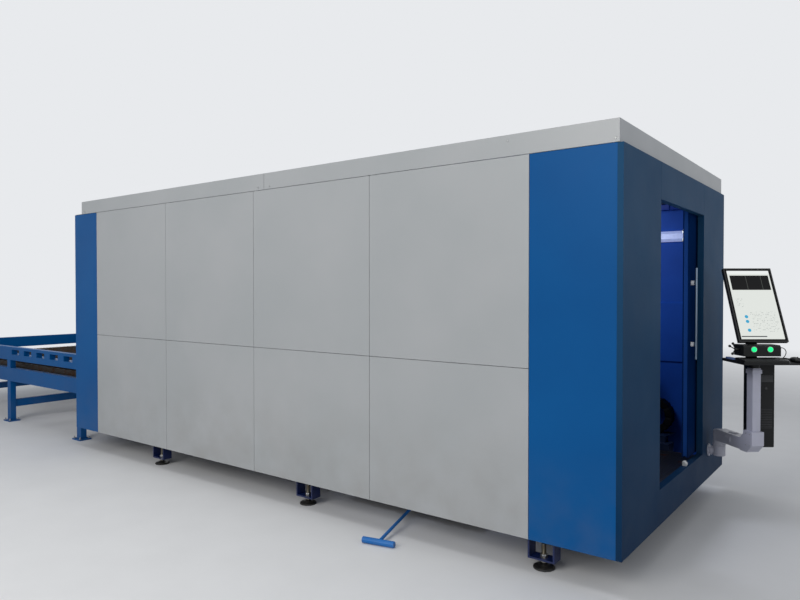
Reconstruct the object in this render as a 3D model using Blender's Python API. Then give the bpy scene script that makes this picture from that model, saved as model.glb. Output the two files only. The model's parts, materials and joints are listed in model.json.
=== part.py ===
# Fiber laser cutting machine: a closed cutting cell on a welded bed, with sliding doors in the
# operator end, an operator console on a swivel arm, and a pallet exchange table at the far end.
# Metres. The drawing frame has X = 0 at the operator end face and runs along -X to the table,
# Y = 0 at the long front face, and Z = 0 at the floor.

import math

import bmesh
import bpy
from mathutils import Matrix, Vector

for old_object in list(bpy.data.objects):
    bpy.data.objects.remove(old_object, do_unlink=True)

# Fits
clearance = 0.0003
running_gap = 0.0005
weld_step = 0.001
seam = 0.003

# Enclosure
body_length = 5.25
body_width = 2.255
body_height = 2.03
ground_gap = 0.18
fascia_height = 0.118
fascia_inset_right = 0.02
fascia_inset_left = 0.128
fascia_joint_x = -2.56
corner_width_right = 0.495
column_count = 4
column_pitch = 1.09
seam_height = 0.9035
sheet = 0.002
panel_depth = 0.03
tube = 0.04

# Operator doorway and its two sliding leaves
doorway_margin = 0.625
doorway_sill = 0.199
header_height = 0.208
jamb_depth = 0.04
leaf_thickness = 0.04
leaf_width = 0.54
leaf_standoff = 0.01
right_leaf_open = 0.178
left_leaf_shows = 0.075
leaf_floor_gap = 0.006
guide_groove = 0.014
track_height = 0.06
track_wall = 0.003
track_slot = 0.012
hanger_plate = 0.006
hanger_inset = 0.08
handle_length = 0.607
handle_centre_height = 1.3405
handle_radius = 0.007
handle_post_radius = 0.014
handle_standoff = 0.031
handle_edge_offset = 0.058
handle_post_pitch = 0.409

# Inner guards and the light bar on the far one
liner_fold_drop = 0.804
lamp_far_end = -2.1
lamp_near_end = -0.12
lamp_drop = 0.34
lamp_height = 0.08
lamp_depth = 0.045

# Bed
bed_near_end = -0.30
bed_far_end = -5.05
side_beam_width = 0.12
front_beam_y = 0.075
rear_beam_inset = 0.315
rear_rail_start = -0.50
beam_top = 0.923
beam_bottom = 0.185
chord_height = 0.16
bed_post_count = 7
rail_width = 0.03
rail_height = 0.03
foot_positions = (-0.457, -2.239, -4.004)
foot_bracket_depth = 0.08
foot_bracket_width = 0.155
foot_bracket_drop = 0.05
foot_bracket_plate = 0.01
step_plate_from = -0.62
step_plate_to = -0.08
step_plate_top = 0.297
foot_pad_radius = 0.058
foot_rod_radius = 0.012

# Pallets and the two levels that they roll on
pallet_length = 3.25
pallet_margin = 0.0625
pallet_frame_height = 0.08
pallet_frame_width = 0.06
pallet_wheel_radius = 0.03
pallet_inside_x = -1.10
pallet_outside_x = -5.42
upper_track = 0.745
level_pitch = 0.24
track_thickness = 0.006
slat_count = 25
slat_thickness = 0.004
slat_height = 0.10

# Gantry, carriage and head
gantry_x = -0.86
gantry_depth = 0.22
gantry_height = 0.26
gantry_lift = 0.075
saddle_width = 0.09
saddle_length = 0.32
bearing_length = 0.06
carriage_width = 0.26
carriage_from_rear_beam = 0.94
head_radius = 0.055
nozzle_drop = 0.028

# Cable chain of the gantry
chain_width = 0.085
chain_margin = 0.008
chain_hanger = 0.008
chain_thickness = 0.05
chain_link = 0.075
chain_low = 0.42
chain_high = 0.64
chain_bend_x = -0.45
chain_fixed_x = -2.44

# Exchange table
table_length = 3.60
table_beam_height = 0.15
table_beam_width = 0.06
table_leg = 0.08
window_pitch = 0.30
window_length = 0.18

# Scrap trolley
tray_centre_x = -1.49
tray_length = 1.02
tray_near_y = 0.40
tray_far_inset = 0.355
tray_bottom = 0.056
tray_top = 0.16
tray_wheel_radius = 0.04
tray_axle_radius = 0.008
tray_axle_inset = 0.16
drawbar_yaw = math.radians(12.5)
drawbar_length = 0.52
drawbar_radius = 0.010
crossbar_length = 0.205
crossbar_radius = 0.019

# Console
swivel_x = 0.07
swivel_inset = 0.455
swivel_height = 0.424
bracket_drop = 0.074
bracket_radius = 0.040
arm_tube = 0.077
arm_angle = math.radians(-45.0)
arm_reach = 0.3536
arm_bottom = 0.462
arm_wall = 0.004
column_width = 0.056
column_drop = 0.035
sleeve_top = 0.595
head_angle = math.radians(82.1)
console_tray_height = 1.035
console_tray_plate = 0.012
console_tray_left = -0.145
console_tray_right = 0.27
control_box_left = -0.118
control_box_right = 0.115
keyboard_length = 0.272
monitor_width = 0.31
monitor_offset = 0.016
monitor_height = 0.514
monitor_thickness = 0.026
monitor_tilt = math.radians(-25.0)
tilt_axis_back = 0.035
tilt_axis_rise = 0.213
tilt_axis_above_bottom = 0.119
tilt_axis_to_glass = 0.08
control_box_overlap = 0.0235
control_box_lift = 0.036
button_radius = 0.014

# Values that follow
doorway_near = doorway_margin
doorway_far = body_width - doorway_margin
right_leaf_edge = doorway_far - right_leaf_open
left_leaf_edge = doorway_near + left_leaf_shows
rear_beam_y = body_width - rear_beam_inset
front_beam_inner = front_beam_y + side_beam_width
pallet_near_y = front_beam_inner + pallet_margin
pallet_width = rear_beam_y - pallet_margin - pallet_near_y
carriage_y = rear_beam_y - carriage_from_rear_beam
tray_far_y = body_width - tray_far_inset
swivel_y = body_width - swivel_inset
column_top = console_tray_height - column_drop
tray_plate_top = console_tray_height + console_tray_plate
tilt_axis_height = console_tray_height + tilt_axis_rise
body_bottom = ground_gap
body_top = body_bottom + body_height
roof_top = body_top + fascia_height
sill_top = body_bottom + doorway_sill
head_bottom = body_top - header_height
seam_z = body_bottom + seam_height
frame_depth = panel_depth + clearance
frame_bottom = body_bottom + sheet + clearance
frame_top = body_top - clearance
rear_face = body_width
liner_depth = frame_depth + tube - weld_step + clearance
left_face = -body_length
column_edges = [-corner_width_right - i * column_pitch for i in range(column_count + 1)]
leaf_front = -(jamb_depth + leaf_standoff)
leaf_back = leaf_front - leaf_thickness
leaf_middle = (leaf_front + leaf_back) / 2
track_low = head_bottom + 0.045
lower_track = upper_track - level_pitch
track_end = left_face - 0.004
table_near_end = track_end - clearance
table_far_end = table_near_end - table_length
rail_top = beam_top + rail_height
gantry_bottom = rail_top + gantry_lift
gantry_top = gantry_bottom + gantry_height
front_beam_mid = front_beam_y + side_beam_width / 2
rear_beam_mid = rear_beam_y + side_beam_width / 2
chain_near_y = rear_beam_y + side_beam_width + chain_margin
nozzle_height = gantry_bottom - nozzle_drop
handle_bar_x = leaf_front + handle_standoff


def make_material(name, colour, roughness, metallic=0.0, emission=0.0):
    material = bpy.data.materials.new(name)
    material.use_nodes = True
    shader = material.node_tree.nodes["Principled BSDF"]
    shader.inputs["Base Color"].default_value = (*colour, 1.0)
    shader.inputs["Roughness"].default_value = roughness
    shader.inputs["Metallic"].default_value = metallic
    if emission:
        shader.inputs["Emission Color"].default_value = (*colour, 1.0)
        shader.inputs["Emission Strength"].default_value = emission
    material.diffuse_color = (*colour, 1.0)
    return material


blue_paint = make_material("blue_paint", (0.008, 0.095, 0.27), 0.35)
white_paint = make_material("white_paint", (0.62, 0.63, 0.64), 0.4)
liner_blue = make_material("liner_blue", (0.012, 0.04, 0.26), 0.45)
bed_paint = make_material("bed_paint", (0.01, 0.08, 0.22), 0.5)
steel = make_material("steel", (0.45, 0.45, 0.44), 0.35, 1.0)
dark_steel = make_material("dark_steel", (0.12, 0.11, 0.10), 0.6, 0.9)
bright_steel = make_material("bright_steel", (0.72, 0.72, 0.72), 0.2, 1.0)
black_plastic = make_material("black_plastic", (0.012, 0.012, 0.013), 0.5)
arm_white = make_material("arm_white", (0.55, 0.55, 0.57), 0.4)
lamp_white = make_material("lamp_white", (0.85, 0.87, 0.9), 0.3, 0.0, 1.0)
screen_glow = make_material("screen_glow", (0.8, 0.82, 0.82), 0.2, 0.0, 1.0)
button_green = make_material("button_green", (0.1, 0.9, 0.45), 0.3, 0.0, 1.0)

machine = bpy.data.objects.new("machine", None)
bpy.context.collection.objects.link(machine)
machine.location = (-foot_positions[0], -(front_beam_y + foot_bracket_depth / 2), 0)


def carrier(name, location, parent=machine, rotation=(0, 0, 0)):
    empty = bpy.data.objects.new(name, None)
    bpy.context.collection.objects.link(empty)
    empty.parent = parent
    empty.location = location
    empty.rotation_euler = rotation
    return empty


def finish_mesh(name, bm, material, parent=machine, smooth=False):
    bmesh.ops.recalc_face_normals(bm, faces=bm.faces[:])
    mesh = bpy.data.meshes.new(name)
    bm.to_mesh(mesh)
    bm.free()
    obj = bpy.data.objects.new(name, mesh)
    bpy.context.collection.objects.link(obj)
    obj.parent = parent
    mesh.materials.append(material)
    if smooth:
        mesh.shade_smooth()
        mesh.set_sharp_from_angle(angle=math.radians(35))
    return obj


def add_box(bm, low, high):
    low, high = Vector(low), Vector(high)
    size = high - low
    matrix = Matrix.Translation((low + high) / 2) @ Matrix.Diagonal((*size, 1.0))
    bmesh.ops.create_cube(bm, size=1.0, matrix=matrix)


def add_rod(bm, start, end, radius, sides=16):
    start, end = Vector(start), Vector(end)
    turn = (end - start).to_track_quat("Z", "Y").to_matrix().to_4x4()
    matrix = Matrix.Translation((start + end) / 2) @ turn
    bmesh.ops.create_cone(
        bm, cap_ends=True, segments=sides, radius1=radius, radius2=radius,
        depth=(end - start).length, matrix=matrix,
    )


def combine(obj, adders, operation="UNION"):
    # Joins to obj, or cuts from it, the shapes that the functions in adders put in a mesh.
    for adder in adders:
        bm = bmesh.new()
        adder(bm)
        helper = finish_mesh(obj.name + "_tool", bm, obj.data.materials[0], obj.parent)
        modifier = obj.modifiers.new(operation.lower(), "BOOLEAN")
        modifier.operation = operation
        modifier.object = helper
        modifier.use_self = operation == "UNION"
        bpy.context.view_layer.update()
        graph = bpy.context.evaluated_depsgraph_get()
        result = bpy.data.meshes.new_from_object(obj.evaluated_get(graph))
        obj.modifiers.remove(modifier)
        old_mesh = obj.data
        obj.data = result
        bpy.data.meshes.remove(old_mesh)
        bpy.data.objects.remove(helper, do_unlink=True)
        result.name = obj.name
    return obj


def boxes_into(boxes):
    def adder(bm):
        for low, high in boxes:
            add_box(bm, low, high)
    return adder


def rods_into(rods, sides=16):
    def adder(bm):
        for start, end, radius in rods:
            add_rod(bm, start, end, radius, sides)
    return adder


def welded(name, boxes, material, parent=machine):
    # One solid from boxes that run into one another.
    bm = bmesh.new()
    add_box(bm, *boxes[0])
    obj = finish_mesh(name, bm, material, parent)
    return combine(obj, [boxes_into(boxes[1:])]) if len(boxes) > 1 else obj


def tray(name, low, high, open_side, material, thickness=sheet, parent=machine):
    # A folded sheet pan: five walls, open towards open_side.
    bm = bmesh.new()
    add_box(bm, low, high)
    bm.normal_update()
    side = Vector(open_side)
    face = max(bm.faces, key=lambda candidate: candidate.normal.dot(side))
    bmesh.ops.inset_region(bm, faces=[face], thickness=thickness)
    depth = abs((Vector(high) - Vector(low)).dot(side)) - thickness
    pushed = bmesh.ops.extrude_face_region(bm, geom=[face])
    moved = [item for item in pushed["geom"] if isinstance(item, bmesh.types.BMVert)]
    bmesh.ops.translate(bm, verts=moved, vec=-side * depth)
    if face.is_valid:
        bmesh.ops.delete(bm, geom=[face], context="FACES_ONLY")
    return finish_mesh(name, bm, material, parent)


def extruded(name, outline, axis, start, end, material, parent=machine):
    # outline holds pairs: (Y, Z) for axis X, (X, Z) for axis Y, (X, Y) for axis Z.
    places = {
        "X": lambda u, v, w: (w, u, v), "Y": lambda u, v, w: (u, w, v), "Z": lambda u, v, w: (u, v, w),
    }
    place = places[axis]
    bm = bmesh.new()
    face = bm.faces.new([bm.verts.new(place(u, v, start)) for u, v in outline])
    pushed = bmesh.ops.extrude_face_region(bm, geom=[face])
    moved = [item for item in pushed["geom"] if isinstance(item, bmesh.types.BMVert)]
    bmesh.ops.translate(bm, verts=moved, vec=Vector(place(0, 0, end - start)))
    return finish_mesh(name, bm, material, parent)


def turned(name, profile, material, parent=machine, axis="Z", centre=(0, 0, 0), sides=32):
    # profile holds (radius, distance along the axis) pairs and starts and ends on the axis.
    bm = bmesh.new()
    verts = [bm.verts.new((radius, 0, height)) for radius, height in profile]
    edges = [bm.edges.new(pair) for pair in zip(verts, verts[1:])]
    bmesh.ops.spin(
        bm, geom=verts + edges, cent=(0, 0, 0), axis=(0, 0, 1), angle=2 * math.pi,
        steps=sides, use_merge=True,
    )
    bmesh.ops.remove_doubles(bm, verts=bm.verts[:], dist=1e-5)
    turns = {
        "Z": Matrix(),
        "X": Matrix.Rotation(math.pi / 2, 4, "Y"),
        "Y": Matrix.Rotation(-math.pi / 2, 4, "X"),
    }
    bmesh.ops.transform(bm, matrix=Matrix.Translation(centre) @ turns[axis], verts=bm.verts[:])
    return finish_mesh(name, bm, material, parent, smooth=True)


# Enclosure

def make_front_panels():
    for index in range(column_count):
        right, left = column_edges[index], column_edges[index + 1]
        for part_name, low_z, high_z in (
            ("lower", body_bottom, seam_z - seam / 2),
            ("upper", seam_z + seam / 2, body_top),
        ):
            tray(
                f"front_panel_{part_name}_{index + 1}",
                (left + seam / 2, 0, low_z), (right - seam / 2, panel_depth, high_z),
                (0, 1, 0), white_paint,
            )


def make_back_panels():
    # Each back panel covers two columns.
    for index in range(column_count // 2):
        right, left = column_edges[2 * index], column_edges[2 * index + 2]
        tray(
            f"back_panel_{index + 1}",
            (left + seam / 2, rear_face - panel_depth, body_bottom),
            (right - seam / 2, rear_face, body_top),
            (0, -1, 0), white_paint,
        )


def make_corner_columns():
    for side_name, near_y, far_y, facing in (
        ("front", 0, panel_depth, (0, 1, 0)),
        ("back", rear_face - panel_depth, rear_face, (0, -1, 0)),
    ):
        tray(
            f"{side_name}_column_right",
            (column_edges[0] + seam / 2, near_y, body_bottom), (-frame_depth, far_y, body_top),
            facing, blue_paint,
        )
        tray(
            f"{side_name}_column_left",
            (left_face + frame_depth, near_y, body_bottom), (column_edges[-1] - seam / 2, far_y, body_top),
            facing, blue_paint,
        )


def make_end_surround():
    outer = -panel_depth
    skin = -sheet
    near, far = doorway_near, doorway_far
    boxes = [
        ((skin, 0, body_bottom), (0, near, body_top)),
        ((skin, near - sheet, body_bottom), (0, far + sheet, sill_top)),
        ((skin, far, body_bottom), (0, rear_face, body_top)),
        ((outer, 0, body_bottom), (skin / 2, sheet, body_top)),
        ((outer, rear_face - sheet, body_bottom), (skin / 2, rear_face, body_top)),
        ((outer, sheet / 2, body_bottom), (skin / 2, rear_face - sheet / 2, body_bottom + sheet)),
        ((outer, sheet / 2, body_top - sheet), (skin / 2, near, body_top)),
        ((outer, far, body_top - sheet), (skin / 2, rear_face - sheet / 2, body_top)),
        ((-jamb_depth, near - sheet, sill_top - sheet), (skin / 2, near, head_bottom)),
        ((-jamb_depth, far, sill_top - sheet), (skin / 2, far + sheet, head_bottom)),
        ((-jamb_depth, near - sheet, sill_top - sheet), (skin / 2, far + sheet, sill_top)),
        ((outer, near - sheet, head_bottom - sheet), (skin / 2, near, body_top)),
        ((outer, far, head_bottom - sheet), (skin / 2, far + sheet, body_top)),
        (
            (-frame_depth - tube, frame_depth + tube + clearance, body_bottom + sheet / 2),
            (outer + weld_step, rear_face - frame_depth - tube - clearance, body_bottom + tube),
        ),
    ]
    welded("end_surround", boxes, blue_paint)


def make_header_panel():
    near, far = doorway_near + seam / 2, doorway_far - seam / 2
    header = tray(
        "header_panel", (-panel_depth, near, head_bottom), (0, far, body_top), (-1, 0, 0), blue_paint,
    )
    lip = ((-jamb_depth, near, head_bottom), (-sheet / 2, far, head_bottom + sheet))
    combine(header, [boxes_into([lip])])


def make_left_end_panel():
    slot_near = pallet_near_y - 0.095
    slot_far = pallet_near_y + pallet_width + 0.095
    slot_low = lower_track - 0.05
    slot_high = upper_track + 0.36
    panel = tray(
        "left_end_panel", (left_face, 0, body_bottom), (left_face + panel_depth, rear_face, body_top),
        (1, 0, 0), blue_paint,
    )
    opening = ((left_face - sheet, slot_near, slot_low), (left_face + 0.1, slot_far, slot_high))
    combine(panel, [boxes_into([opening])], "DIFFERENCE")
    lip_start, lip_end = left_face + sheet / 2, left_face + jamb_depth
    near_lip, far_lip = slot_near - sheet, slot_far + sheet
    low_lip, high_lip = slot_low - sheet, slot_high + sheet
    lips = [
        ((lip_start, near_lip, low_lip), (lip_end, slot_near, high_lip)),
        ((lip_start, slot_far, low_lip), (lip_end, far_lip, high_lip)),
        ((lip_start, near_lip, low_lip), (lip_end, far_lip, slot_low)),
        ((lip_start, near_lip, slot_high), (lip_end, far_lip, high_lip)),
    ]
    rail = (
        (left_face + panel_depth - weld_step, frame_depth + tube + clearance, body_bottom + sheet / 2),
        (left_face + frame_depth + tube, rear_face - frame_depth - tube - clearance, body_bottom + tube),
    )
    combine(panel, [boxes_into(lips), boxes_into([rail])])


def make_roof():
    # Each cover has beams welded in, which rest on the frames' top rails, and an end rail between them.
    low, high = body_top + seam, roof_top
    joint = fascia_joint_x
    half = tube / 2 - weld_step
    rail_near, rail_far = frame_depth + tube + clearance, rear_face - frame_depth - tube - clearance
    rail_low = frame_top - tube + weld_step
    for name, left, right, end in (
        ("roof_cover_right", joint + seam / 2, -fascia_inset_right, -frame_depth),
        ("roof_cover_left", left_face + fascia_inset_left, joint - seam / 2, left_face + frame_depth + tube),
    ):
        cover = tray(name, (left, 0, low), (right, rear_face, high), (0, 0, -1), white_paint)
        boxes = [
            ((x - half, frame_depth, body_top), (x + half, rear_face - frame_depth, high - weld_step))
            for x in column_edges if left < x < right
        ]
        if end < left:
            # The lid over the far columns, which stand out past the cover.
            boxes.append(((left_face, 0, low), (left + weld_step, rear_face, low + sheet)))
            boxes.append(((end - tube, rail_near, rail_low), (end, rail_far, low + weld_step)))
        else:
            boxes.append(((end - tube + weld_step, rail_near, rail_low), (end, rail_far, high - weld_step)))
        combine(cover, [boxes_into(boxes)])


def make_enclosure_frames():
    # A welded ladder of tubes behind the front panels and one behind the back panels.
    right, left = -frame_depth, left_face + frame_depth
    half = tube / 2 - weld_step
    posts = sorted(column_edges + [x - column_pitch / 2 for x in column_edges[:-1]])
    posts += [right - half - weld_step, left + half + weld_step]
    for name, near in (("front_frame", frame_depth), ("rear_frame", rear_face - frame_depth - tube)):
        y0, y1 = near + weld_step, near + tube - weld_step
        boxes = [
            ((left, near, frame_bottom), (right, near + tube, frame_bottom + tube)),
            ((left, near, frame_top - tube), (right, near + tube, frame_top)),
            ((left + tube / 2, y0, seam_z - tube / 2), (right - tube / 2, y1, seam_z + tube / 2)),
        ]
        for x in posts:
            boxes.append(((x - half, y0, frame_bottom + tube / 2), (x + half, y1, frame_top - tube / 2)))
        welded(name, boxes, bed_paint)


def make_door_track():
    # An inverted channel whose two lips carry the leaves' rollers.
    back, front = leaf_back - 0.02, leaf_front + 0.004
    high = track_low + track_height
    top = frame_top - tube + weld_step - clearance
    wall = track_wall
    slot_near, slot_far = leaf_middle - track_slot / 2, leaf_middle + track_slot / 2
    outline = [
        (back, track_low), (slot_near, track_low), (slot_near, track_low + wall), (back + wall, track_low + wall),
        (back + wall, high - wall), (front - wall, high - wall), (front - wall, track_low + wall),
        (slot_far, track_low + wall), (slot_far, track_low), (front, track_low), (front, top),
        (front - wall, top), (front - wall, high), (back, high),
    ]
    inner = frame_depth + tube + 0.016
    extruded("door_track", outline, "Y", inner, rear_face - inner, liner_blue)


def make_leaf(name, edge_y, outward, parent):
    # outward is +1 when the leaf slides open towards +Y.
    low_y, high_y = sorted((edge_y, edge_y + outward * leaf_width))
    leaf_bottom = sill_top + leaf_floor_gap
    leaf_top = track_low - 0.010
    roller_low = track_low + track_wall + clearance
    boxes = [((leaf_back, low_y, leaf_bottom), (leaf_front, high_y, leaf_top))]
    for offset in (hanger_inset, leaf_width - hanger_inset):
        y = edge_y + outward * offset
        stem, roller = hanger_plate / 2, track_slot + hanger_plate
        boxes.append((
            (leaf_middle - stem, y - 0.02, leaf_top - 0.01), (leaf_middle + stem, y + 0.02, roller_low + 0.03),
        ))
        boxes.append((
            (leaf_middle - roller, y - 0.014, roller_low), (leaf_middle + roller, y + 0.014, roller_low + 0.0277),
        ))
    leaf = welded(name, boxes, blue_paint, parent)
    half = guide_groove / 2
    groove = (
        (leaf_middle - half, low_y - 0.01, leaf_bottom - 0.01),
        (leaf_middle + half, high_y + 0.01, leaf_bottom + 0.02),
    )
    combine(leaf, [boxes_into([groove])], "DIFFERENCE")


def make_handle(name, edge_y, outward, parent):
    y = edge_y + outward * handle_edge_offset
    low = handle_centre_height - handle_length / 2
    bm = bmesh.new()
    add_rod(bm, (handle_bar_x, y, low), (handle_bar_x, y, low + handle_length), handle_radius, 12)
    handle = finish_mesh(name, bm, bright_steel, parent)
    posts = []
    for sign in (-1, 1):
        z = handle_centre_height + sign * handle_post_pitch / 2
        posts.append(((leaf_front + clearance, y, z), (handle_bar_x, y, z), handle_post_radius))
    combine(handle, [rods_into(posts, 16)])


def make_doors():
    make_door_track()
    right_door = carrier("right_door_slide", (0, 0, 0))
    left_door = carrier("left_door_slide", (0, 0, 0))
    make_leaf("door_leaf_right", right_leaf_edge, 1, right_door)
    make_handle("door_handle_right", right_leaf_edge, 1, right_door)
    make_leaf("door_leaf_left", left_leaf_edge, -1, left_door)
    make_handle("door_handle_left", left_leaf_edge, -1, left_door)
    guide_y = 1.27
    outline = [(-0.036, sill_top + clearance), (-0.012, sill_top + clearance), (-0.012, sill_top + 0.012),
               (-0.024, sill_top + 0.026), (-0.036, sill_top + 0.026)]
    extruded("sill_guide", outline, "Y", guide_y - 0.018, guide_y + 0.018, arm_white)


def make_liners():
    # Folded guards inside the frame, with a shallow step out over the rails.
    low = body_bottom + tube + 0.01
    high = body_top - tube - 0.01
    step = 0.012
    step_low, step_high = beam_top + 0.01, body_top - liner_fold_drop
    right, left = -frame_depth - tube - 0.01, left_face + frame_depth + tube + 0.01
    for name, base, sign in (
        ("front_liner", liner_depth, 1),
        ("rear_liner", rear_face - liner_depth, -1),
    ):
        outer = [
            (0, low), (0, step_low), (step, step_low + step), (step, step_high - step), (0, step_high), (0, high),
        ]
        inner = [(offset + sheet, z) for offset, z in reversed(outer)]
        outline = [(base + sign * offset, z) for offset, z in outer + inner]
        extruded(name, outline, "X", left, right, liner_blue)


def make_lamp():
    y = rear_face - liner_depth - sheet - clearance
    low = body_top - lamp_drop
    high, face, chamfer = low + lamp_height, y - lamp_depth, lamp_height / 4
    outline = [
        (y, low), (y, high), (face + chamfer, high), (face, high - chamfer), (face, low + chamfer), (face + chamfer, low),
    ]
    extruded("interior_lamp", outline, "X", lamp_far_end, lamp_near_end, lamp_white)


# Bed

def make_side_beam(y0, inward):
    # Two chords, posts, a guide rail on top and a ledge for each pallet level.
    y1 = y0 + side_beam_width
    low, high = beam_bottom, beam_top
    near_end = bed_near_end if inward > 0 else rear_rail_start
    middle = (y0 + y1) / 2
    boxes = [
        ((bed_far_end, y0, low), (bed_near_end, y1, low + chord_height)),
        ((bed_far_end, y0, high - chord_height), (near_end, y1, high)),
        ((bed_far_end, middle - rail_width / 2, high - 0.01), (near_end, middle + rail_width / 2, rail_top)),
    ]
    first, last = near_end - 0.06, bed_far_end + 0.06
    for index in range(bed_post_count):
        x = first + (last - first) * index / (bed_post_count - 1)
        boxes.append(((x - 0.055, y0 + 0.002, low + 0.01), (x + 0.055, y1 - 0.002, high - 0.01)))
    face = y1 if inward > 0 else y0
    edge = face + inward * (pallet_margin + pallet_frame_width + 0.015)
    for level in (upper_track, lower_track):
        near_y, far_y = sorted((face - inward * 0.01, edge))
        boxes.append(((track_end, near_y, level - track_thickness), (pallet_inside_x + 0.06, far_y, level)))
        near_y, far_y = sorted((face - inward * 0.01, face + inward * 0.006))
        boxes.append(((bed_far_end, near_y, level - 0.05), (pallet_inside_x + 0.06, far_y, level - 0.001)))
    return boxes


def make_bed():
    boxes = make_side_beam(front_beam_y, 1) + make_side_beam(rear_beam_y, -1)
    low = beam_bottom
    rear_outer = rear_beam_y + side_beam_width
    inner_near, inner_far = front_beam_inner - 0.01, rear_beam_y + 0.01
    stations = (bed_near_end - 0.06, *foot_positions, bed_far_end + 0.06)
    for x in stations:
        boxes.append(((x - 0.05, inner_near, low + 0.002), (x + 0.05, inner_far, low + 0.11)))
    # The step inside the doorway.
    boxes.append((
        (step_plate_from, inner_near, step_plate_top - track_thickness),
        (step_plate_to, inner_far, step_plate_top),
    ))
    # The chain's trough and the short post under its free end.
    trough_top = chain_low - chain_thickness / 2 - clearance
    trough_low = trough_top - track_thickness
    boxes.append((
        (-4.3, rear_outer - 0.01, trough_low),
        (bed_near_end - 0.02, chain_near_y + chain_width + 0.01, trough_top),
    ))
    boxes.append((
        (bed_near_end - 0.10, rear_outer - 0.07, low + chord_height - 0.01),
        (bed_near_end - 0.04, rear_outer - 0.002, trough_top - weld_step),
    ))
    # Lugs that carry the enclosure's bottom rails.
    lug_low, lug_high = body_bottom + sheet + 0.008, body_bottom + sheet + tube
    lug_near, lug_far = frame_depth + tube + clearance, rear_face - frame_depth - tube - clearance
    for x in stations:
        boxes.append(((x - 0.04, lug_near, lug_low), (x + 0.04, front_beam_y + 0.01, lug_high)))
        boxes.append(((x - 0.04, rear_outer - 0.01, lug_low), (x + 0.04, lug_far, lug_high)))
    welded("bed_frame", boxes, bed_paint)


def front_foot_y():
    return front_beam_y + foot_bracket_depth / 2


def rear_foot_y():
    return rear_beam_y + side_beam_width - foot_bracket_depth / 2


def make_feet():
    # Each foot is one piece: pad, threaded rod, two nuts and the bracket that is bolted under the bed.
    web_low, web_high = foot_bracket_drop, foot_bracket_drop + foot_bracket_plate
    pad, rod, nut, overlap = foot_pad_radius, foot_rod_radius, 0.019, 0.0005
    lower = [
        (0, 0), (pad, 0), (pad, 0.010), (pad - 0.006, 0.014), (0.03, 0.018), (rod, 0.030),
        (rod, web_low - 0.0145), (nut, web_low - 0.0145), (nut, web_low + overlap), (0, web_low + overlap),
    ]
    upper = [
        (0, web_high - overlap), (nut, web_high - overlap), (nut, web_high + 0.018), (rod, web_high + 0.018),
        (rod, 0.132), (0, 0.132),
    ]
    half, wide, plate = foot_bracket_width / 2, foot_bracket_depth / 2, foot_bracket_plate
    top = beam_bottom - clearance
    for row, y in (("front_foot", front_foot_y()), ("rear_foot", rear_foot_y())):
        for index, x in enumerate(foot_positions):
            foot = turned(f"{row}_{index + 1}", lower, steel, centre=(x, y, 0), sides=12)
            stud = turned(f"{row}_{index + 1}_stud", upper, steel, centre=(x, y, 0), sides=12)
            bracket = [
                ((x - half, y - wide, web_low), (x + half, y + wide, web_high)),
                ((x - half, y - wide, web_low), (x - half + plate, y + wide, top)),
                ((x + half - plate, y - wide, web_low), (x + half, y + wide, top)),
            ]
            combine(foot, [boxes_into(bracket), lambda bm, source=stud: bm.from_mesh(source.data)])
            bpy.data.objects.remove(stud, do_unlink=True)


# Motion parts

def make_gantry():
    gantry = carrier("gantry_slide", (gantry_x, 0, 0))
    half = gantry_depth / 2
    near = front_beam_mid - saddle_width / 2
    far = rear_beam_mid + saddle_width / 2
    chamfer = 0.035
    outline = [
        (-half, gantry_bottom + chamfer), (-half, gantry_top), (half - chamfer, gantry_top),
        (half, gantry_top - chamfer), (half, gantry_bottom), (-half + chamfer, gantry_bottom),
    ]
    beam = extruded("gantry_beam", outline, "Y", near, far, white_paint, gantry)
    boxes = []
    for middle in (front_beam_mid, rear_beam_mid):
        wide, long, block = saddle_width / 2, saddle_length / 2, bearing_length / 2
        low = rail_top + running_gap
        boxes.append(((-long, middle - wide, low), (long, middle + wide, gantry_bottom + 0.02)))
        for x in (block - long, long - block):
            for side in (-1, 1):
                inner = middle + side * (rail_width / 2 + running_gap)
                y0, y1 = sorted((inner, middle + side * wide))
                boxes.append(((x - block, y0, beam_top + 0.004), (x + block, y1, rail_top + 0.01)))
    for z in (gantry_bottom + 0.06, gantry_top - 0.05):
        boxes.append(((-half - 0.02, near + 0.06, z - 0.012), (-half + 0.01, far - 0.06, z + 0.012)))
    hanger_y = chain_near_y + chain_width + 0.001
    left, right, outer, high = -0.05, 0.07, hanger_y + chain_hanger, rail_top + 0.03
    boxes.append(((left, far - 0.03, high - 0.01), (right, outer, high)))
    boxes.append(((left, hanger_y, chain_high - chain_thickness / 2), (right, outer, high)))
    shelf = chain_high + chain_thickness / 2 + clearance
    boxes.append(((left, chain_near_y, shelf), (right, hanger_y + chain_hanger / 2, shelf + chain_hanger)))
    combine(beam, [boxes_into(boxes)])
    make_carriage(gantry)


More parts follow.
